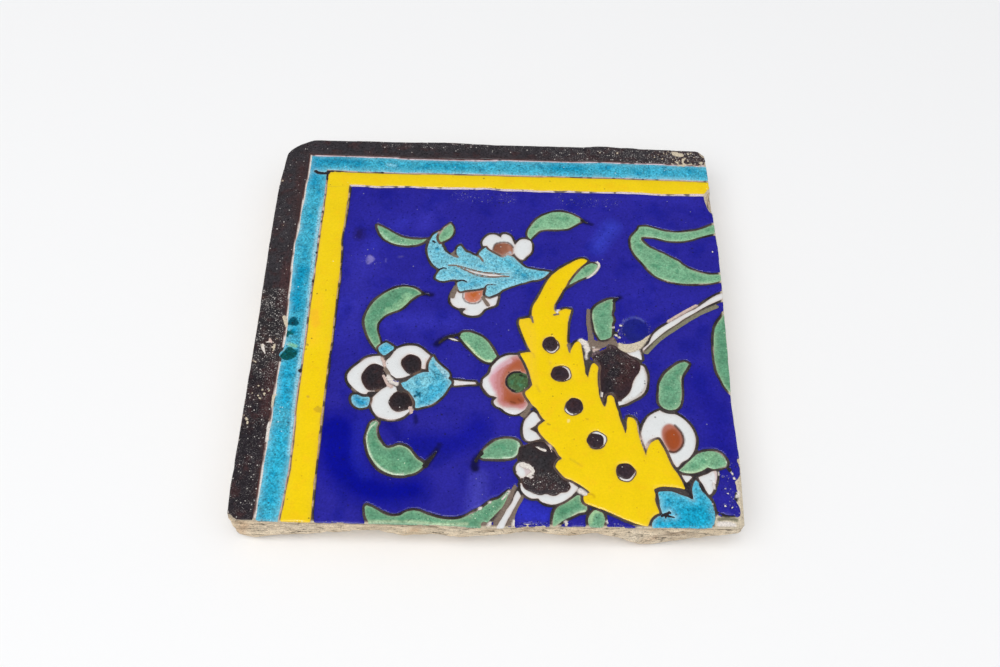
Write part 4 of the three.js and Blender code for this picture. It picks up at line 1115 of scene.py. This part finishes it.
# Each point of the remeshed solid moves along its normal by the three noises, in full on
# the upright sides and hardly at all on the flat faces.
def clayBody():
    piece = tileNode.copy()
    piece.data = tileNode.data.copy()
    piece.hide_viewport = False  # a hidden object's modifiers don't run
    bpy.context.scene.collection.objects.link(piece)
    weld = piece.modifiers.new("weld", "WELD")
    weld.merge_threshold = 0.01 * mm
    remesh = piece.modifiers.new("remesh", "REMESH")
    remesh.mode = "VOXEL"
    remesh.voxel_size = clay["cell"] * mm
    scene = bpy.context.evaluated_depsgraph_get()
    mesh = bpy.data.meshes.new_from_object(piece.evaluated_get(scene))
    bpy.data.objects.remove(piece)
    points = readAll(mesh.vertices, "co", 3) / mm
    normals = readAll(mesh.vertices, "normal", 3)
    x, y, z = points.T
    below = faceLevel - z
    side = smoothStep(1.4 - 1.4 * np.abs(normals[:, 2]))
    full = smoothStep((below - clay["soundFrom"]) / clay["soundRun"])
    amount = clay["sound"] + (1 - clay["sound"]) * full
    stretch = clay["layerStretch"]
    broken = clay["broken"] * layeredNoise(x, y, z, clay["brokenSize"], 101, 2)
    grain = clay["grain"] * layeredNoise(x, y, z, clay["grainSize"], 111, 2)
    flake = clay["layer"] * layeredNoise(x / stretch, y / stretch, z, clay["layerSize"], 151, 2)
    rough = broken + grain + flake
    points = points + normals * (rough * amount * side)[:, None] * [1, 1, 0.5]
    onBed = (z < 1.5) * (1 - side)
    hollows = np.maximum(0, layeredNoise(x, y, 0, clay["bedSize"], 121))
    points[:, 2] += onBed * clay["bedRise"] * hollows
    points[:, 2] = np.clip(points[:, 2], 0, faceLevel - relief["clayDrop"])
    mesh.vertices.foreach_set("co", (points * mm).astype(np.float32).ravel())
    mesh.update()

    tone = layeredNoise(x, y, z, clay["toneSize"], 131)
    stained = smoothStep(1.6 * layeredNoise(x, y, z, clay["stainSize"], 141) - 0.25)
    # Painted shade: the clay is darker where the noise pushes its surface in.
    hollowShade = smoothStep(-1.2 * rough - 0.1)
    # A band within about three millimetres below the glazed face is darker, in the shade colour.
    underGlaze = smoothStep((3.2 + 1.5 * tone - below) / 3)
    paint = np.broadcast_to(linear(clay["base"]), points.shape)
    for colour, share in (("pale", 0.5 + 0.8 * tone), ("stain", clay["stainShare"] * stained),
                          ("shade", clay["hollowShadeShare"] * hollowShade),
                          ("shade", clay["underGlazeShare"] * underGlaze)):
        paint = paint + (linear(clay[colour]) - paint) * share[:, None]
    storeColour(mesh, "paint", np.clip(paint, 0, 1))

    # The bake's map: underside and top as squares, the four sides as strips above them.
    totals = readAll(mesh.polygons, "loop_total", 1, np.int32)
    facing = np.repeat(readAll(mesh.polygons, "normal", 3), totals, axis=0)
    corners = readAll(mesh.loops, "vertex_index", 1, np.int32)
    u, v, up = ((points[corners] + [120, 120, 1]) / 240).T
    ax, ay, az = np.abs(facing).T
    strip = np.where(ay >= ax, np.where(facing[:, 1] < 0, 0, 1), np.where(facing[:, 0] < 0, 2, 3))
    along = np.where(ay >= ax, u, v)
    sideMap = np.stack([0.01 + 0.98 * along, 0.585 + 0.103 * strip + 0.98 * up], 1)
    underMap = np.stack([0.01 + 0.55 * u, 0.01 + 0.55 * v], 1)
    topMap = np.stack([0.58 + 0.4 * u, 0.01 + 0.4 * v], 1)
    flat = (az > np.maximum(ax, ay))[:, None]
    bakeMap = np.where(flat, np.where(facing[:, 2:] < 0, underMap, topMap), sideMap)
    mesh.polygons.foreach_set("use_smooth", np.ones(len(mesh.polygons), bool))
    mesh.name = "clayBody"
    return placePiece("clayBody", mesh, bakeMap)


print("stage: clay")
clayPiece = clayBody()


# Node trees. A node is made with its settings, and its inputs are values or other outputs.
def addNode(tree, kind, inputs=None, **settings):
    node = tree.nodes.new(kind)
    for key, value in settings.items():
        setattr(node, key, value)
    for key, value in (inputs or {}).items():
        if isinstance(value, bpy.types.NodeSocket):
            tree.links.new(value, node.inputs[key])
        else:
            node.inputs[key].default_value = value
    return node


def mathNode(tree, operation, *values):
    return addNode(tree, "ShaderNodeMath", dict(enumerate(values)), operation=operation).outputs[0]


def vectorNode(tree, operation, inputs):
    return addNode(tree, "ShaderNodeVectorMath", inputs, operation=operation).outputs[0]


# The sums that the groups are made of: a * b, a * b + c and a - b.
def sumsOf(tree):
    return [lambda *values, kind=kind: mathNode(tree, kind, *values)
            for kind in ("MULTIPLY", "MULTIPLY_ADD", "SUBTRACT")]


def mixColours(tree, share, first, second):
    node = addNode(tree, "ShaderNodeMix", {0: share, 6: first, 7: second}, data_type="RGBA")
    return node.outputs[2]


def mapRange(tree, value, low, high, newLow=0.0, newHigh=1.0, smooth=True):
    kind = "SMOOTHSTEP" if smooth else "LINEAR"
    return addNode(tree, "ShaderNodeMapRange", {0: value, 1: low, 2: high, 3: newLow,
                                                4: newHigh}, interpolation_type=kind).outputs[0]


def noiseNode(tree, place, scale, detail, roughness=0.5):
    return addNode(tree, "ShaderNodeTexNoise", {"Vector": place, "Scale": scale, "Detail": detail,
                                                "Roughness": roughness}).outputs[0]


# Round dots, one to a cell, in a share of the cells. A dot's radius lies between smallest and
# smallest + spread, and it is full up to the given share of that radius.
def dotsNode(tree, place, size, share, smallest, spread, full):
    times, timesPlus, _ = sumsOf(tree)
    cells = addNode(tree, "ShaderNodeTexVoronoi", {"Vector": place, "Scale": 1.0 / size,
                                                   "Randomness": 1.0})
    pick = addNode(tree, "ShaderNodeSeparateColor", {0: cells.outputs["Color"]}).outputs
    radius = timesPlus(pick[1], spread, smallest)
    disc = mapRange(tree, cells.outputs["Distance"], times(radius, full), radius, 1.0, 0.0, False)
    return times(disc, mathNode(tree, "LESS_THAN", pick[0], share))


# A factor round 1 that follows a noise: 1 + 4 * strength * (noise - 0.5).
def toneNode(tree, noise, strength):
    times, timesPlus, minus = sumsOf(tree)
    return timesPlus(minus(noise, 0.5), times(strength, 4.0), 1.0)


def groupWith(name, inputs, outputs):
    tree = bpy.data.node_groups.new(name, "ShaderNodeTree")
    for label, kind, value in inputs:
        socket = tree.interface.new_socket(label, in_out="INPUT", socket_type="NodeSocket" + kind)
        if value is not None:
            socket.default_value = value
    for label, kind in outputs:
        tree.interface.new_socket(label, in_out="OUTPUT", socket_type="NodeSocket" + kind)
    return tree, tree.nodes.new("NodeGroupInput").outputs, tree.nodes.new("NodeGroupOutput").inputs


surfaceOutputs = [("Color", "Color"), ("Roughness", "Float"), ("Height", "Float")]


# Glaze: slow and fine changes of tone, streaks, a changed colour where it thins at its edge,
# pale flecks where it is worn, and dark pinholes. Place is in millimetres.
def glazeGroup():
    tree, given, made = groupWith("glazeSurface", [
        ("Place", "Vector", None), ("Paint", "Color", None), ("Rim", "Float", None),
        ("Wear", "Float", None), ("Deep Colour", "Color", (0, 0, 0, 1)),
        ("Deep Share", "Float", 0.3), ("Tone Size", "Float", 14), ("Tone Strength", "Float", 0.1),
        ("Grain Size", "Float", 0.9), ("Grain Strength", "Float", 0.1),
        ("Edge Colour", "Color", (1, 1, 1, 1)), ("Edge Width", "Float", 0.8),
        ("Edge Share", "Float", 0.4), ("Fleck Colour", "Color", (1, 1, 1, 1)),
        ("Fleck Share", "Float", 0.02), ("Speck Colour", "Color", (0, 0, 0, 1)),
        ("Speck Share", "Float", 0.1), ("Pinholes", "Float", 0.05), ("Roughness", "Float", 0.2),
    ], surfaceOutputs)
    place, wearing = given["Place"], given["Wear"]
    times, timesPlus, minus = sumsOf(tree)

    # Each noise is moved by an offset of its own, so that no two run alike.
    def noise(size, detail, offset=0.0):
        moved = vectorNode(tree, "ADD", {0: place, 1: (offset, offset, 0)})
        return noiseNode(tree, moved, mathNode(tree, "DIVIDE", 1.0, size), detail)

    def dots(size, widest, share):
        return dotsNode(tree, place, size, share, 0.4 * widest, widest, 0.5)

    slow = noise(given["Tone Size"], 3)
    fine = noise(given["Grain Size"], 2, 40)
    deep = mapRange(tree, noise(times(given["Tone Size"], 0.6), 4, 90), 0.48, 0.72)
    deep = times(times(deep, given["Deep Share"]), mapRange(tree, given["Rim"], 0.5, 2.5))
    colour = mixColours(tree, deep, given["Paint"], given["Deep Colour"])
    tone = times(toneNode(tree, slow, given["Tone Strength"]),
                 toneNode(tree, fine, given["Grain Strength"]))
    colour = vectorNode(tree, "SCALE", {0: colour, 3: tone})

    # The edge's colour fades as e^(-distance / width). A dark paint hides a pale edge.
    edge = times(mathNode(tree, "DIVIDE", given["Rim"], given["Edge Width"]), -1.0)
    uneven = mapRange(tree, noise(6.0, 2, 130), 0.35, 0.65, 0.35, 1.0)
    edge = times(times(mathNode(tree, "EXPONENT", edge), uneven), given["Edge Share"])
    light, edgeLight = [addNode(tree, "ShaderNodeRGBToBW", {0: given[label]}).outputs[0]
                        for label in ("Paint", "Edge Colour")]
    seen = mathNode(tree, "MAXIMUM", mapRange(tree, light, 0.08, 0.22),
                    mapRange(tree, edgeLight, 0.1, 0.3, 1.0, 0.0))
    colour = mixColours(tree, times(edge, seen), colour, given["Edge Colour"])

    specks = dots(1.15, 0.34, given["Speck Share"])
    clumps = mapRange(tree, noise(3.0, 2, 210), 0.36, 0.58)
    scuffs = times(times(mapRange(tree, noise(0.55, 2, 170), 0.57, 0.64), clumps), wearing)
    flecks = mathNode(tree, "MAXIMUM", times(scuffs, 0.7),
                      dots(1.0, 0.34, timesPlus(wearing, 0.5, given["Fleck Share"])))
    holes = dots(2.1, 0.24, timesPlus(wearing, 0.5, given["Pinholes"]))
    for mask, share, laid in ((specks, 0.7, given["Speck Colour"]),
                              (flecks, 0.8, given["Fleck Colour"]),
                              (holes, 0.6, (0.012, 0.01, 0.012, 1))):
        colour = mixColours(tree, times(mask, share), colour, laid)
    tree.links.new(colour, made["Color"])
    rough = timesPlus(flecks, 0.4, timesPlus(slow, 0.08, given["Roughness"]))
    tree.links.new(timesPlus(wearing, 0.06, rough), made["Roughness"])
    height = timesPlus(noise(2.4, 1, 250), 0.12, times(fine, 0.05))
    for mask, drop in ((holes, 0.12), (flecks, 0.08)):
        height = minus(height, times(mask, drop))
    tree.links.new(height, made["Height"])
    return tree


# Bare fired clay and the drawn line: a sandy grain, darker pits, pale crumbs, and bands and
# cracks that lie flat in the clay, the cracks darkened as painted shade.
def clayGroup():
    tree, given, made = groupWith("claySurface", [
        ("Place", "Vector", None), ("Paint", "Color", None), ("Grain Size", "Float", 0.7),
        ("Grain Strength", "Float", 0.2), ("Pit Share", "Float", 0.3),
        ("Pit Colour", "Color", (0.2, 0.14, 0.1, 1)), ("Crumb Colour", "Color", (1, 1, 1, 1)),
        ("Crumb Share", "Float", 0.2), ("Crack Share", "Float", 0.0),
        ("Crack Colour", "Color", (0.1, 0.06, 0.04, 1)), ("Roughness", "Float", 0.85),
    ], surfaceOutputs)
    place = given["Place"]
    times, timesPlus, minus = sumsOf(tree)
    fine = noiseNode(tree, place, mathNode(tree, "DIVIDE", 1.0, given["Grain Size"]), 4.0)
    slow = noiseNode(tree, place, 0.22, 5.0)
    tone = toneNode(tree, fine, given["Grain Strength"])
    colour = vectorNode(tree, "SCALE", {0: given["Paint"], 3: tone})
    pits = dotsNode(tree, place, 1.0, given["Pit Share"], 0.08, 0.3, 0.0)
    crumbs = mapRange(tree, noiseNode(tree, place, 1.6, 3.0, 0.7), 0.56, 0.7)
    lying = vectorNode(tree, "MULTIPLY", {0: place, 1: (0.11, 0.11, 0.75)})
    strata = noiseNode(tree, lying, 0.8, 5.0)
    fromMiddle = mathNode(tree, "ABSOLUTE", minus(strata, 0.5))
    # The cracks' dark colour is painted shade inside them.
    cracks = times(mapRange(tree, fromMiddle, 0.0, 0.022, 1.0, 0.0),
                   mapRange(tree, slow, 0.42, 0.6))
    cracks = times(cracks, given["Crack Share"])
    banded = times(mapRange(tree, strata, 0.5, 0.66), given["Crack Share"])
    for share, laid in ((times(pits, 0.75), "Pit Colour"),
                        (times(crumbs, given["Crumb Share"]), "Crumb Colour"),
                        (times(banded, 0.28), "Pit Colour"), (cracks, "Crack Colour")):
        colour = mixColours(tree, share, colour, given[laid])
    tree.links.new(colour, made["Color"])
    tree.links.new(timesPlus(slow, 0.12, given["Roughness"]), made["Roughness"])
    height = timesPlus(fine, 0.4, times(slow, 0.9))
    for mask, drop in ((pits, 0.6), (cracks, 0.9), (banded, 0.4)):
        height = minus(height, times(mask, drop))
    tree.links.new(height, made["Height"])
    return tree


# A material around one of the groups: the group's colour, roughness and height feed the shader,
# whose own fixed values are set on its sockets.
def finish(piece, name, group, values, attributes, bump, specular=0.5):
    material = bpy.data.materials.new(name)
    material.use_nodes = True
    tree = material.node_tree
    shader = tree.nodes["Principled BSDF"]
    local = addNode(tree, "ShaderNodeTexCoord").outputs["Object"]
    inputs = {"Place": vectorNode(tree, "SCALE", {0: local, 3: 1 / mm}), **values}
    for label, key in attributes.items():
        source = addNode(tree, "ShaderNodeAttribute", attribute_name=key)
        inputs[label] = source.outputs["Color" if label == "Paint" else "Fac"]
    surface = addNode(tree, "ShaderNodeGroup", inputs, node_tree=group)
    tree.links.new(surface.outputs["Color"], shader.inputs["Base Color"])
    tree.links.new(surface.outputs["Roughness"], shader.inputs["Roughness"])
    relieved = addNode(tree, "ShaderNodeBump", {"Height": surface.outputs["Height"],
                                                "Distance": mm, "Strength": bump})
    tree.links.new(relieved.outputs[0], shader.inputs["Normal"])
    shader.inputs["Specular IOR Level"].default_value = specular
    piece.data.materials.clear()
    piece.data.materials.append(material)


# A colour for a socket, from an 8-bit one.
def tint(*colour):
    return (*linear(colour), 1)


print("stage: finishes")
glazeFinish = {
    "cobalt": {"Deep Colour": tint(18, 22, 138), "Deep Share": 0.6, "Tone Size": 22,
               "Tone Strength": 0.1, "Grain Strength": 0.2, "Edge Colour": tint(24, 20, 104),
               "Edge Width": 1.1, "Edge Share": 0.5, "Fleck Colour": tint(132, 128, 166),
               "Fleck Share": 0.004, "Speck Colour": tint(14, 14, 96), "Speck Share": 0.16,
               "Pinholes": 0.08, "Roughness": 0.1},
    "yellow": {"Deep Colour": tint(244, 190, 24), "Deep Share": 0.35, "Tone Size": 12,
               "Tone Strength": 0.03, "Grain Strength": 0.05, "Edge Colour": tint(222, 178, 70),
               "Edge Width": 0.6, "Edge Share": 0.6, "Fleck Colour": tint(252, 240, 190),
               "Fleck Share": 0.001, "Speck Colour": tint(206, 160, 20), "Speck Share": 0.03,
               "Pinholes": 0.02, "Roughness": 0.12},
    "turquoise": {"Deep Colour": tint(0, 136, 174), "Deep Share": 0.85, "Tone Size": 7,
                  "Tone Strength": 0.1, "Grain Strength": 0.55,
                  "Edge Colour": tint(164, 212, 224), "Edge Width": 1.1, "Edge Share": 0.75,
                  "Fleck Colour": tint(196, 230, 234), "Fleck Share": 0.012,
                  "Speck Colour": tint(0, 104, 138), "Speck Share": 0.6, "Pinholes": 0.16,
                  "Roughness": 0.12},
    "green": {"Deep Colour": tint(72, 138, 104), "Deep Share": 0.7, "Tone Size": 7,
              "Tone Strength": 0.15, "Grain Strength": 0.34, "Edge Colour": tint(184, 212, 168),
              "Edge Width": 0.8, "Edge Share": 0.7, "Fleck Colour": tint(200, 224, 190),
              "Fleck Share": 0.02, "Speck Colour": tint(70, 130, 100), "Speck Share": 0.3,
              "Pinholes": 0.05, "Roughness": 0.12},
    "white": {"Deep Colour": tint(216, 218, 220), "Deep Share": 0.0, "Tone Size": 6,
              "Tone Strength": 0.03, "Grain Strength": 0.03, "Edge Colour": tint(204, 178, 168),
              "Edge Width": 0.6, "Edge Share": 0.75, "Fleck Colour": tint(190, 180, 170),
              "Fleck Share": 0.004, "Speck Colour": tint(206, 196, 190), "Speck Share": 0.04,
              "Pinholes": 0.04, "Roughness": 0.14},
    "black": {"Deep Colour": tint(70, 44, 44), "Deep Share": 0.6, "Tone Size": 8,
              "Tone Strength": 0.12, "Grain Strength": 0.5, "Edge Colour": tint(78, 50, 46),
              "Edge Width": 1.2, "Edge Share": 0.6, "Fleck Colour": tint(208, 202, 196),
              "Fleck Share": 0.012, "Speck Colour": tint(24, 20, 22), "Speck Share": 0.4,
              "Pinholes": 0.2, "Roughness": 0.2},
}
glazeGrouped, clayGrouped = glazeGroup(), clayGroup()
for glaze, piece in glazePieces.items():
    finish(piece, glaze + "Finish", glazeGrouped, glazeFinish[glaze],
           {"Paint": "paint", "Rim": "rim", "Wear": "wear"}, 0.35)
for piece in linePieces:
    finish(piece, "lineFinish", clayGrouped, {
        "Grain Size": 0.8, "Grain Strength": 0.3, "Pit Share": 0.3,
        "Pit Colour": tint(36, 28, 30), "Crumb Share": 0.15,
        "Crumb Colour": tint(186, 172, 158), "Roughness": 0.6,
    }, {"Paint": "paint"}, 0.4, 0.3)
finish(clayPiece, "clayFinish", clayGrouped, {
    "Grain Size": 0.6, "Grain Strength": 0.34, "Pit Share": 0.6, "Pit Colour": tint(118, 90, 66),
    "Crumb Share": 0.4, "Crumb Colour": tint(232, 216, 192), "Crack Share": 0.95,
    # Crack Colour is painted shade in the cracks.
    "Crack Colour": tint(84, 62, 46), "Roughness": 0.85,
}, {"Paint": "paint"}, 0.9, 0.2)

# Floor, light and camera
studio = {
    "floorReach": 4.0,  # metres from the middle to a side
    "floorTone": 0.9,
    "floorRoughness": 0.9, "floorGloss": 0.1,
    "skyColour": (0.97, 0.98, 1, 1),
    "skyTone": 0.48,  # how bright the surroundings are for the tile
    "gleamTone": 0.05,  # how bright they are in its gloss
    "backdropTone": 0.9,  # and how bright they look to the camera
    "softboxes": [  # place and side in metres, power in watts; each looks at the tile
        dict(place=(-1, -1.15, 2.5), side=2.4, power=42.5),
        dict(place=(1.25, -0.6, 2.45), side=2.2, power=9),
        dict(place=(0, -0.75, 3), side=1.2, power=15),
    ],
    "lens": 44.78, "sensor": 36,
    "cameraPlace": (-5.88, -361.88, 502.56),  # from the middle of the picture, millimetres
    "cameraRight": (0.99946, 0.01337, 0.03015),
    "cameraUp": (-0.0282, 0.82035, 0.57116),
}


# A turn that puts an object's own axes along these three.
def alongAxes(right, up, back):
    return Matrix(np.column_stack([right, up, back]).tolist()).to_4x4()


print("stage: studio")
reach = studio["floorReach"]
floorMesh = bpy.data.meshes.new("studioFloor")
floorMesh.from_pydata([(-reach, -reach, 0), (reach, -reach, 0), (reach, reach, 0),
                       (-reach, reach, 0)], [], [(0, 1, 2, 3)])
floor = bpy.data.objects.new("studioFloor", floorMesh)
bpy.context.scene.collection.objects.link(floor)
floorFinish = bpy.data.materials.new("floorFinish")
floorFinish.use_nodes = True
floorShader = floorFinish.node_tree.nodes["Principled BSDF"]
floorShader.inputs["Base Color"].default_value = (*[studio["floorTone"]] * 3, 1)
floorShader.inputs["Roughness"].default_value = studio["floorRoughness"]
floorShader.inputs["Specular IOR Level"].default_value = studio["floorGloss"]
floorMesh.materials.append(floorFinish)

world = bpy.data.worlds.new("surroundings")
bpy.context.scene.world = world
world.use_nodes = True
sky = world.node_tree
background = sky.nodes["Background"]
path = addNode(sky, "ShaderNodeLightPath").outputs
brightness = mapRange(sky, path["Is Glossy Ray"], 0.0, 1.0, studio["skyTone"],
                      studio["gleamTone"], False)
brightness = mapRange(sky, path["Is Camera Ray"], 0.0, 1.0, brightness,
                      studio["backdropTone"], False)
background.inputs["Color"].default_value = studio["skyColour"]
sky.links.new(brightness, background.inputs["Strength"])

for number, box in enumerate(studio["softboxes"]):
    light = bpy.data.lights.new("softbox" + str(number), "AREA")
    light.shape = "SQUARE"
    light.size = box["side"]
    light.energy = box["power"]
    lamp = bpy.data.objects.new(light.name, light)
    back = np.array(box["place"]) / np.linalg.norm(box["place"])
    right = np.cross([0, 1, 0], back)
    right = right / np.linalg.norm(right)
    lamp.matrix_world = (Matrix.Translation(box["place"])
                         @ alongAxes(right, np.cross(back, right), back))
    bpy.context.scene.collection.objects.link(lamp)

camera = bpy.data.cameras.new("camera")
camera.lens = studio["lens"]
camera.sensor_width = studio["sensor"]
camera.clip_start, camera.clip_end = 0.01, 50
viewer = bpy.data.objects.new("camera", camera)
right, up = np.array(studio["cameraRight"]), np.array(studio["cameraUp"])
place = (np.array(studio["cameraPlace"]) + [*pictureShift, faceLevel]) * mm
viewer.matrix_world = (Matrix.Translation(place.tolist())
                       @ alongAxes(right, up, np.cross(right, up)))
bpy.context.scene.collection.objects.link(viewer)
bpy.context.scene.camera = viewer
bpy.context.scene.view_settings.view_transform = "Standard"

print("stage: done")
